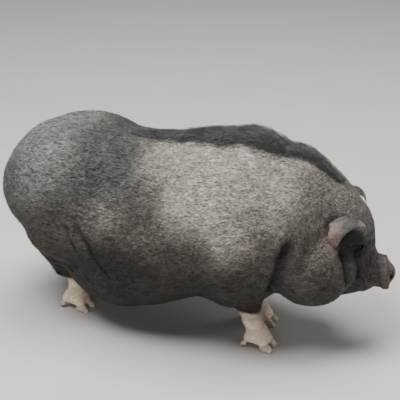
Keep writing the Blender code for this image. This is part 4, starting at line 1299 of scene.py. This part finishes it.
def coat_lie(p):
    """Direction that the coat lies in: back along the trunk, down the flanks and legs, up the face."""
    side_way = 0.25 * np.sign(p[:, 1]) * step(0.42, 0.52, p[:, 2])
    lie = np.stack([np.full(len(p), -1.0), side_way, -0.35 - 0.6 * step(0.30, 0.15, p[:, 2])], -1)
    face = step(0.10, 0.20, body_to_head(p)[:, 0])
    lie = mix(lie, head_direction((-0.9, 0, 0.45), 1), face)
    return mix(lie, (-0.15, 0, -1.0), step(0.14, 0.10, p[:, 2]) * (1 - face))


# Maps for the bake: each lays its region flat, round it and along it.

MAP_EDGE = 0.02


def in_map(share, size=0.96):
    """A share from 0 to 1, as a place in the map, kept off its edge."""
    return MAP_EDGE + size * share


def turn_share(a, b):
    return np.arctan2(a, b) / (2 * math.pi) + 0.5


def unwrap_body(p):
    return in_map(np.stack([(p[:, 0] + 0.58) / 1.16, turn_share(p[:, 1], p[:, 2] - 0.30)], -1))


def unwrap_head(p):
    q = body_to_head(p)
    return in_map(np.stack([(q[:, 0] + 0.06) / 0.36, turn_share(q[:, 1], q[:, 2] - 0.26)], -1))


def unwrap_legs(p):
    """Round each leg, in four tiles."""
    flat = np.zeros((len(p), 2))
    for k, (hx, hy) in enumerate(HEELS.values()):
        mine = ((p[:, 0] < -0.1) == (hx < -0.1)) & ((p[:, 1] < 0) == (hy < 0))
        round_leg = turn_share(p[:, 1] - hy, p[:, 0] - hx)
        tile = in_map(np.stack([round_leg, np.clip(p[:, 2] / 0.24, 0, 1)], -1), 0.45)
        flat[mine] = tile[mine] + np.array((0.5 * (k % 2), 0.5 * (k // 2)))
    return flat


def unwrap_mane(p):
    aside = p[:, 1] - spine_y(p[:, 0])
    return np.stack([in_map((p[:, 0] + 0.20) / 0.62), np.clip(0.5 + aside / 0.16, 0.01, 0.99)], -1)


# Materials


class Shading:
    """One node material: each method adds a node, feeds its inputs and gives its output."""

    def __init__(self, name):
        self.material = bpy.data.materials.new(name)
        self.material.use_nodes = True
        self.tree = self.material.node_tree
        self.place = self.node("TexCoord", "Object")

    def feed(self, node, inputs):
        for name, value in inputs.items():
            if isinstance(value, bpy.types.NodeSocket):
                self.tree.links.new(value, node.inputs[name])
            else:
                node.inputs[name].default_value = value

    def node(self, kind, output, inputs=None, **settings):
        made = self.tree.nodes.new("ShaderNode" + kind)
        for name, value in settings.items():
            setattr(made, name, value)
        self.feed(made, inputs or {})
        return made.outputs[output]

    def noise(self, scale, detail=4.0, rough=0.6, where=None):
        where = self.place if where is None else where
        inputs = {"Vector": where, "Scale": scale, "Detail": detail, "Roughness": rough}
        return self.node("TexNoise", "Fac", inputs)

    def ramp(self, value, start, end, a=0.0, b=1.0):
        """A number carried from one range to another."""
        inputs = {"Value": value, "From Min": start, "From Max": end, "To Min": a, "To Max": b}
        return self.node("MapRange", "Result", inputs)

    def scaled(self, colour, value):
        """A colour times a number."""
        return self.node("VectorMath", "Vector", {0: colour, "Scale": value}, operation="SCALE")

    def colours(self, value, stops):
        """A number turned into colours, by stops of place and colour."""
        made = self.node("ValToRGB", "Color", {"Fac": value})
        elements = made.node.color_ramp.elements
        elements[0].position, elements[1].position = stops[0][0], stops[-1][0]
        for at, _ in stops[1:-1]:
            elements.new(at)
        for element, (_, colour) in zip(elements, stops):
            element.color = (*colour, 1)
        return made

    def bump(self, height, strength, distance, under=None):
        inputs = {"Height": height, "Strength": strength, "Distance": distance}
        if under is not None:
            inputs["Normal"] = under
        return self.node("Bump", "Normal", inputs)

    def finish(self, colour, roughness, more=None):
        """Feeds the surface and gives the material."""
        inputs = {"Base Color": colour, "Roughness": roughness, **(more or {})}
        self.feed(self.tree.nodes["Principled BSDF"], inputs)
        return self.material


def hide_unevenness(make):
    """Broad and narrow unevenness of a thick hide, drawn out the way the hair lies, and their shade."""
    turned = {"Vector": make.place, "Rotation": (0.0, math.radians(-35), 0.0), "Scale": (0.5, 1.0, 1.0)}
    drawn = make.node("Mapping", "Vector", turned)
    broad = make.noise(70.0, 3.0, 0.6, drawn)
    narrow = make.noise(215.0, 3.0, 0.65, drawn)
    shades = {0: make.ramp(broad, 0.33, 0.67, 0.74, 1.26), 1: make.ramp(narrow, 0.33, 0.67, 0.46, 1.62)}
    return broad, narrow, make.node("Math", "Value", shades, operation="MULTIPLY")


def skin_material_made():
    """Dry, thick hide: mottled, wrinkled and pored, less so where the tint says that it is calm."""
    make = Shading("pig_skin")
    tint = make.node("Attribute", "Color", attribute_name="tint")
    calm = tint.node.outputs["Alpha"]
    broad, narrow, shade = hide_unevenness(make)
    fine = make.noise(420.0, 2.0, 0.6)
    cells = {"Vector": make.place, "Scale": 260.0}
    crack = make.node("TexVoronoi", "Distance", cells, feature="DISTANCE_TO_EDGE")
    colour = make.scaled(tint, make.node("Mix", "Result", {"Factor": calm, "A": shade, "B": 0.95}))
    colour = make.scaled(colour, make.ramp(fine, 0.3, 0.7, 0.68, 1.36))
    colour = make.scaled(colour, make.ramp(crack, 0.0, 0.08, 0.78, 1.0))
    relief = make.bump(broad, make.ramp(calm, 0.0, 1.0, 0.85, 0.0), 0.0090)
    relief = make.bump(narrow, make.ramp(calm, 0.0, 1.0, 0.8, 0.0), 0.0040, relief)
    relief = make.bump(make.ramp(crack, 0.0, 0.12), 0.35, 0.0005, relief)
    relief = {"Specular IOR Level": 0.30, "Normal": make.bump(fine, 0.5, 0.0009, relief)}
    return make.finish(colour, make.ramp(fine, 0.3, 0.7, 0.50, 0.72), relief)


def bristle_material_made():
    """Coarse hair, sharing the hide's unevenness so that it clumps in the same places."""
    make = Shading("pig_bristle")
    tint = make.node("Attribute", "Color", attribute_name="tint")
    streak = make.noise(700.0, 2.0, 0.5)
    colour = make.scaled(tint, hide_unevenness(make)[-1])
    colour = make.scaled(colour, make.ramp(streak, 0.3, 0.7, 0.8, 1.2))
    relief = make.bump(streak, 0.2, 0.0002)
    return make.finish(colour, 0.42, {"Specular IOR Level": 0.35, "Normal": relief})


def hoof_material_made():
    """Horn: cream to brown in stains, and ringed across."""
    make = Shading("pig_hoof")
    wave = {"Vector": make.place, "Scale": 60.0, "Distortion": 3.5, "Detail": 3.0, "Detail Scale": 1.5}
    rings = make.node("TexWave", "Fac", wave, bands_direction="Z")
    stain = make.noise(90.0, 5.0, 0.6)
    colour = make.colours(stain, ((0.32, (0.34, 0.26, 0.19)), (0.62, (0.68, 0.57, 0.45))))
    colour = make.scaled(colour, make.ramp(rings, 0.0, 1.0, 0.82, 1.08))
    relief = make.bump(stain, 0.4, 0.0006, make.bump(rings, 0.35, 0.0008))
    return make.finish(colour, make.ramp(stain, 0.3, 0.7, 0.62, 0.42), {"Normal": relief})


# Eye colours by distance from the pupil's middle, in eye radii.
EYE_STOPS = (
    (0.0, (0.003, 0.003, 0.003)), (0.27, (0.004, 0.003, 0.003)), (0.31, (0.050, 0.026, 0.012)),
    (0.52, (0.075, 0.040, 0.018)), (0.60, (0.012, 0.008, 0.006)), (0.66, (0.220, 0.190, 0.170)),
    (1.0, (0.24, 0.17, 0.15)),
)


def eye_material_made(name, centre, gaze):
    """A dark brown iris round a black pupil, wet all over."""
    make = Shading(name)
    pupil = tuple(centre + gaze * EYE_RADIUS + SHIFT)
    away = make.node("VectorMath", "Value", {0: make.place, 1: pupil}, operation="DISTANCE")
    fibre = make.noise(900.0, 3.0, 0.6)
    colour = make.colours(make.ramp(away, 0.0, EYE_RADIUS), EYE_STOPS)
    colour = make.scaled(colour, make.ramp(fibre, 0.3, 0.7, 0.7, 1.3))
    rough = make.ramp(fibre, 0.3, 0.7, 0.10, 0.16)
    return make.finish(colour, rough, {"Coat Weight": 0.8, "Coat Roughness": 0.03})


skin_material = skin_material_made()
bristle_material = bristle_material_made()
hoof_material = hoof_material_made()

# Skin, ears and tail as one piece

skin = make_skin()
ear_objects, ear_outer, ear_inner = zip(*(ear_mesh(side) for side in SIDES.values()))
fuse(skin, [*ear_objects, tail_mesh()])


def distances_to(cloud, points):
    """Distance from each point to the nearest one of the cloud, and which one that is."""
    tree = KDTree(len(cloud))
    for k, point in enumerate(cloud):
        tree.insert(Vector(point), k)
    tree.balance()
    found = [tree.find(Vector(point)) for point in points]
    return np.array([f[2] for f in found]), np.array([f[1] for f in found])


# Half the height of the softened seam, above and below the skin, and its reach from the ear.
EAR_SEAM, EAR_SEAM_REACH = 0.009, 0.012
TAIL_SEAM = 0.010
SEAM_ROUNDS = 14
OVER_EAR = (0.372, 0.396)

# A vertex belongs to an ear where it lies on a sheet and clear of the flesh, more so further out.
AT_SHEET, CLEAR_OF_FLESH, ALL_EAR = 0.003, 0.001, 0.010
LEAST_EAR = 0.25

co = vertices_of(skin)
depth = flesh(co) + COAT_DEPTH
boxed = (co[:, 0] > 0.30) & (co[:, 2] > 0.26)
outer_away, inner_away, outer_row = np.full(len(co), 1.0), np.full(len(co), 1.0), np.zeros(len(co))
outer_away[boxed], found = distances_to(np.concatenate(ear_outer), co[boxed])
inner_away[boxed] = distances_to(np.concatenate(ear_inner), co[boxed])[0]
per_row = EAR_SCENE_COLUMNS + 1
outer_row[boxed] = found % ((EAR_SCENE_ROWS + 1) * per_row) // per_row / EAR_SCENE_ROWS
ear_away = np.minimum(outer_away, inner_away)
at_tail = (co[:, 0] < -0.49) & (np.abs(co[:, 1]) < 0.035)
ear_seam = np.clip(1 - np.abs(depth) / EAR_SEAM, 0, 1) * np.clip(1 - ear_away / EAR_SEAM_REACH, 0, 1)
tail_seam = np.clip(1 - np.abs(depth) / TAIL_SEAM, 0, 1)
soften(skin, np.sqrt(np.maximum(boxed * ear_seam, at_tail * tail_seam)), SEAM_ROUNDS)

co = vertices_of(skin)
on_ear = boxed & (ear_away < AT_SHEET) & (depth > CLEAR_OF_FLESH)
ear_share = np.where(on_ear, np.clip((depth - CLEAR_OF_FLESH) / ALL_EAR, LEAST_EAR, 1), 0)
# Ear colours: grey with a pink base and a pale rim outside, and painted shade, near black, inside the cup.
ear_colour = painted(np.repeat(np.array((EAR_GREY,)), len(co), 0), (
    (EAR_PINK, step(0.50, 0.12, outer_row + 0.16 * noise(co, 30.0, 19))),
    (EAR_RIM, step(0.72, 1.0, outer_row) * 0.85),
    (EAR_CUP_SHADE, (inner_away < outer_away - 0.0008).astype(float)),
))
# Skin just by each ear's base: pink below it, and above it a line of painted shade where the ear meets the
# head.
near_base = np.where(boxed & ~on_ear, step(0.026, 0.004, outer_away) * step(0.30, 0.10, outer_row), 0)
over_ear = step(*OVER_EAR, co[:, 2])
colour = painted(markings(co), (
    (ear_colour, ear_share),
    (EAR_PINK, near_base * (1 - over_ear) * 0.7),
    (DEEP_SHADE, near_base * over_ear * 0.85),
))
calm = np.maximum(foot_share(co) * 0.75, ear_share * 0.4)
paint_points(skin, colour, calm)
set_vertices(skin, co + SHIFT)
dressed(skin.data, skin_material)
write(skin.data.polygons, "material_index", np.zeros(len(skin.data.polygons)), np.int32)
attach(skin, "root")
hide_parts("torso", "neck", "head", "snout", "mane", "tail", "ear_left", "ear_right")
for leg in LEGS:
    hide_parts("leg_" + leg, "foot_" + leg)

# Eyes

EYE_INSET = 0.0001
EYE_FORWARDS = 0.25
EYE_BULGE, EYE_BULGE_MORE = 0.86, 0.25


def eye_ball(side):
    """An eye with a bulging cornea, looking outwards and a little ahead."""
    centre, out, forward, _ = EYES[side]
    name = "eyeball_left" if side > 0 else "eyeball_right"
    gaze = unit(out + EYE_FORWARDS * forward)
    turn = Vector(gaze).to_track_quat("Z", "Y").to_matrix().to_4x4()
    mesh = bpy.data.meshes.new(name)
    with editing(mesh) as bm:
        bmesh.ops.create_uvsphere(bm, u_segments=40, v_segments=28, radius=EYE_RADIUS - EYE_INSET)
        for v in bm.verts:
            v.co.z += max(v.co.z - EYE_RADIUS * EYE_BULGE, 0) * EYE_BULGE_MORE
        bmesh.ops.transform(bm, matrix=Matrix.Translation(Vector(centre + SHIFT)) @ turn, verts=bm.verts)
    obj = linked(name, mesh)
    dressed(mesh, eye_material_made(name, centre, gaze))
    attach(obj, "root")
    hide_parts("eye_left" if side > 0 else "eye_right")


for side in SIDES.values():
    eye_ball(side)

# Hooves

HORN_LEVELS = 3
SOLE_HEIGHT = 0.0012


def horn(node):
    """A claw rounded from its solid, with its sole still flat on the floor."""
    source = frame["nodes"][node]
    obj = source.copy()
    obj.data = source.data.copy()
    obj.name = node.replace("hoof", "horn").replace("dewclaw", "spur")
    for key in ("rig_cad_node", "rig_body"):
        if key in obj:
            del obj[key]
    obj.parent = None
    bpy.context.scene.collection.objects.link(obj)
    with editing(obj.data) as bm:
        bmesh.ops.remove_doubles(bm, verts=bm.verts, dist=0.00001)
        faces = list(bm.faces)
        bmesh.ops.join_triangles(bm, faces=faces, angle_face_threshold=0.6, angle_shape_threshold=1.2)
    smooth = obj.modifiers.new("smooth", "SUBSURF")
    smooth.levels = smooth.render_levels = HORN_LEVELS
    apply_modifiers(obj)
    shape = vertices_of(obj)
    lowest, highest = shape.min(0), shape.max(0)
    low, high = (np.array(corner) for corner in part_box(node))
    grow = (high - low) / (highest - lowest)
    shape = low + (shape - lowest) * grow
    shape[:, 2] = np.where(shape[:, 2] < low[2] + SOLE_HEIGHT, low[2], shape[:, 2])
    set_vertices(obj, shape)
    dressed(obj.data, hoof_material)
    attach(obj, "root")
    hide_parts(node)


for leg in LEGS:
    for kind in ("hoof", "dewclaw"):
        for place in ("inner", "outer"):
            horn(f"{kind}_{leg}_{place}")

# Bristles over the skin

skin.data.calc_loop_triangles()
tris = read(skin.data.loop_triangles, "vertices", 3, int)
body_tris = tris[~(ear_share > 0.2)[tris].any(-1)]
# Paler bristles are brightened past the skin's colour: partly pale hair, partly painted glints of sunlit
# hair.
PALE_HAIR_AND_GLINT = 2.1
DARK_HAIR = 0.40


def grow_coat(name, seed, count, weight, unwrap, length, width, lift, light):
    """Short bristles over one region, in the skin's own colours with paler and darker ones among them; the
    paler ones are partly pale hair and partly painted glints of sunlit hair.
    """
    rng = np.random.default_rng(seed)
    place, out = sampled(rng, co, body_tris, weight, count)
    lie = coat_lie(place) + rng.normal(size=(count, 3)) * 0.16
    paler = rng.random(count) < light(place)
    factor = np.where(paler, PALE_HAIR_AND_GLINT, DARK_HAIR) * rng.uniform(0.7, 1.3, count)
    piece = blades(
        name, place, out, lie, length * rng.uniform(0.65, 1.2, count), width * rng.uniform(0.7, 1.2, count),
        lift * rng.uniform(0.5, 1.4, count), rng.normal(size=count) * 0.15,
        markings(place) * factor[:, None], unwrap(place),
    )


# How thickly each region is haired. The head's coat starts at HEAD_FROM in the head's own frame.

HEAD_FROM = 0.03


def trunk_side(side):
    def weight(p, out):
        here = (p[:, 1] * side > 0) & (body_to_head(p)[:, 0] < HEAD_FROM)
        dense = 0.35 + 0.65 * step(-0.45, -0.10, p[:, 0])
        above, higher = step(0.09, 0.20, p[:, 2]), 0.5 + 0.5 * step(0.18, 0.36, p[:, 2])
        return here * above * dense * higher * (1.02 - folds(p))
    return weight


def head_weight(p, out):
    x = body_to_head(p)[:, 0]
    bare = step(0.236, 0.225, x)
    return (x >= HEAD_FROM) * (0.25 + 0.75 * step(0.19, 0.12, x)) * bare * (1.02 - folds(p))


def leg_weight(p, out):
    here = (p[:, 2] < 0.19) & (p[:, 2] > 0.030) & (out[:, 2] > -0.8) & (body_to_head(p)[:, 0] < HEAD_FROM)
    return here * (1 - 0.85 * foot_share(p))


def trunk_pale_and_glint(p):
    """Share of paler bristles on the trunk, more over the upper ribs and shoulder: partly pale hair, partly
    painted glints of sunlit hair.
    """
    return 0.22 + 0.43 * step(-0.28, 0.0, p[:, 0]) * step(0.20, 0.40, p[:, 2])


# Coats: name, seed, count, weight, map, length, width, lift and share of paler bristles, which are partly
# painted glints.
COATS = (
    ("coat_right", 21, 19000, trunk_side(-1.0), unwrap_body, 0.0150, 0.00095, 0.0022, trunk_pale_and_glint),
    ("coat_left", 22, 19000, trunk_side(1.0), unwrap_body, 0.0150, 0.00095, 0.0022, trunk_pale_and_glint),
    ("coat_head", 23, 15000, head_weight, unwrap_head, 0.0105, 0.00080, 0.0018, lambda p: 0.42),
    ("coat_legs", 24, 6000, leg_weight, unwrap_legs, 0.0085, 0.00075, 0.0014, lambda p: 0.35),
)
for coat in COATS:
    grow_coat(*coat)


# Mane: coarse bristles along the spine, lying back and spreading to the sides

MANE_FROM, MANE_TO = -0.170, 0.396
MANE_CLUMP = 0.009
SPINE_X = np.linspace(MANE_FROM - 0.02, MANE_TO + 0.02, 60)
SPINE_Z = np.array([spine_height(x) for x in SPINE_X])


def grow_mane(name, seed, count, length, width, lift, spread):
    rng = np.random.default_rng(seed)
    along = np.linspace(MANE_FROM, MANE_TO, 400)
    share = np.cumsum(mane_half(along) + 0.012)
    x = np.interp(rng.random(count), share / share[-1], along)
    clump = np.round(x / MANE_CLUMP + rng.normal(size=count) * 0.2)
    aside = np.clip(rng.normal(size=count) * 0.46, -1.35, 1.35)
    edge = np.clip(mane_half(x) / max(MANE_WIDTHS), 0.2, 1)
    place = np.stack([x, spine_y(x) + aside * mane_half(x), np.interp(x, SPINE_X, SPINE_Z)], -1)
    for _ in range(4):
        out = outward(flesh, place, 0.001)
        place = place - out * (flesh(place) + COAT_DEPTH)[:, None]
    lean = np.sin(clump * 12.9898) * 0.35
    sideways = aside * spread + lean + rng.normal(size=count) * 0.14
    lie = np.stack([-np.ones(count), sideways, 0.12 + rng.normal(size=count) * 0.08], -1)
    size = (0.40 + 0.60 * edge) * rng.uniform(0.60, 1.15, count)
    shade = rng.uniform(0.6, 1.6, count)[:, None] * np.array((MANE_HAIR,))
    shade[rng.random(count) < 0.10] = MANE_GREY_HAIR
    piece = blades(
        name, place, out, lie, length * size, width * rng.uniform(0.7, 1.2, count),
        lift * rng.uniform(0.5, 1.5, count) * edge, rng.normal(size=count) * 0.12,
        shade, unwrap_mane(place), rings=4,
    )


grow_mane("mane_long", 31, 7400, 0.048, 0.00130, 0.0110, 0.45)
grow_mane("mane_short", 32, 5600, 0.028, 0.00120, 0.0050, 0.60)

TASSEL_SHARE = 0.28
TASSEL_LENGTH = 0.040


def tail_tassel():
    """Hair round the last part of the tail, hanging down."""
    rng = np.random.default_rng(41)
    count = 900
    line = np.array(TAIL_LINE)
    along = np.linspace(0, 1, len(line))
    t = 1 - TASSEL_SHARE * rng.random(count) ** 1.3
    centre = np.stack([np.interp(t, along, line[:, k]) for k in range(3)], -1)
    a = rng.uniform(0, 2 * math.pi, count)
    out = np.stack([np.cos(a), np.sin(a), np.zeros(count)], -1)
    place = centre + out * (np.interp(t, along, TAIL_RADII) - COAT_DEPTH)[:, None]
    lie = np.stack([0.10 * rng.normal(size=count), 0.10 * rng.normal(size=count), -np.ones(count)], -1)
    shade = rng.uniform(0.6, 1.6, count)[:, None] * np.array((TASSEL_HAIR,))
    uvs = in_map(np.stack([a / (2 * math.pi), (1 - t) / TASSEL_SHARE], -1))
    piece = blades(
        "tail_bristles", place, out, lie, TASSEL_LENGTH * rng.uniform(0.6, 1.1, count),
        np.full(count, 0.0011), 0.003 * rng.uniform(0.4, 1.3, count), rng.normal(size=count) * 0.1,
        shade, uvs, rings=3,
    )


tail_tassel()

# Floor, light and camera

FLOOR_REACH = 14.0
floor_mesh = bpy.data.meshes.new("floor")
corners = [(x * FLOOR_REACH, y * FLOOR_REACH, 0) for x, y in ((-1, -1), (1, -1), (1, 1), (-1, 1))]
floor_mesh.from_pydata(corners, [], [(0, 1, 2, 3)])
floor = linked("floor", floor_mesh)
paint = Shading("floor_paint")
floor_colour = paint.colours(paint.noise(3.0), ((0.0, (0.44, 0.43, 0.41)), (1.0, (0.50, 0.49, 0.47))))
floor_mesh.materials.append(paint.finish(floor_colour, 0.85))

world = bpy.data.worlds.new("studio")
world.use_nodes = True
background = world.node_tree.nodes["Background"]
background.inputs["Color"].default_value = (0.86, 0.90, 0.95, 1)
background.inputs["Strength"].default_value = 0.18
bpy.context.scene.world = world

# Lamps: name, place, diameter and power, all turned to the pig's middle.
MIDDLE = Vector((0.0, 0.0, 0.30))
LAMPS = (
    ("key", (-0.7, -1.5, 3.7), 2.0, 225),
    ("top", (0.2, 0.5, 3.9), 2.6, 190),
    ("rim", (2.6, 1.8, 1.8), 1.6, 25),
    ("fill", (0.5, -2.8, 0.7), 1.6, 17),
)
for name, place, diameter, power in LAMPS:
    light = bpy.data.lights.new(name, "AREA")
    light.shape = "DISK"
    light.size = diameter
    light.energy = power
    lamp = linked(name, light)
    lamp.location = place
    lamp.rotation_euler = (MIDDLE - Vector(place)).to_track_quat("-Z", "Y").to_euler()

CAMERA_AZIMUTH, CAMERA_HEIGHT = math.radians(22), math.radians(24)
CAMERA_AWAY = 3.4
CAMERA_TARGET = Vector((-0.015, 0.050, 0.335)) + Vector(SHIFT)
CAMERA_LENS, CAMERA_SENSOR = 112.5, 36
camera_data = bpy.data.cameras.new("camera")
camera_data.sensor_width = CAMERA_SENSOR
camera_data.lens = CAMERA_LENS
camera = linked("camera", camera_data)
back = Vector((
    math.sin(CAMERA_AZIMUTH) * math.cos(CAMERA_HEIGHT),
    -math.cos(CAMERA_AZIMUTH) * math.cos(CAMERA_HEIGHT),
    math.sin(CAMERA_HEIGHT),
))
camera.location = CAMERA_TARGET + back * CAMERA_AWAY
camera.rotation_euler = back.to_track_quat("Z", "Y").to_euler()
bpy.context.scene.camera = camera
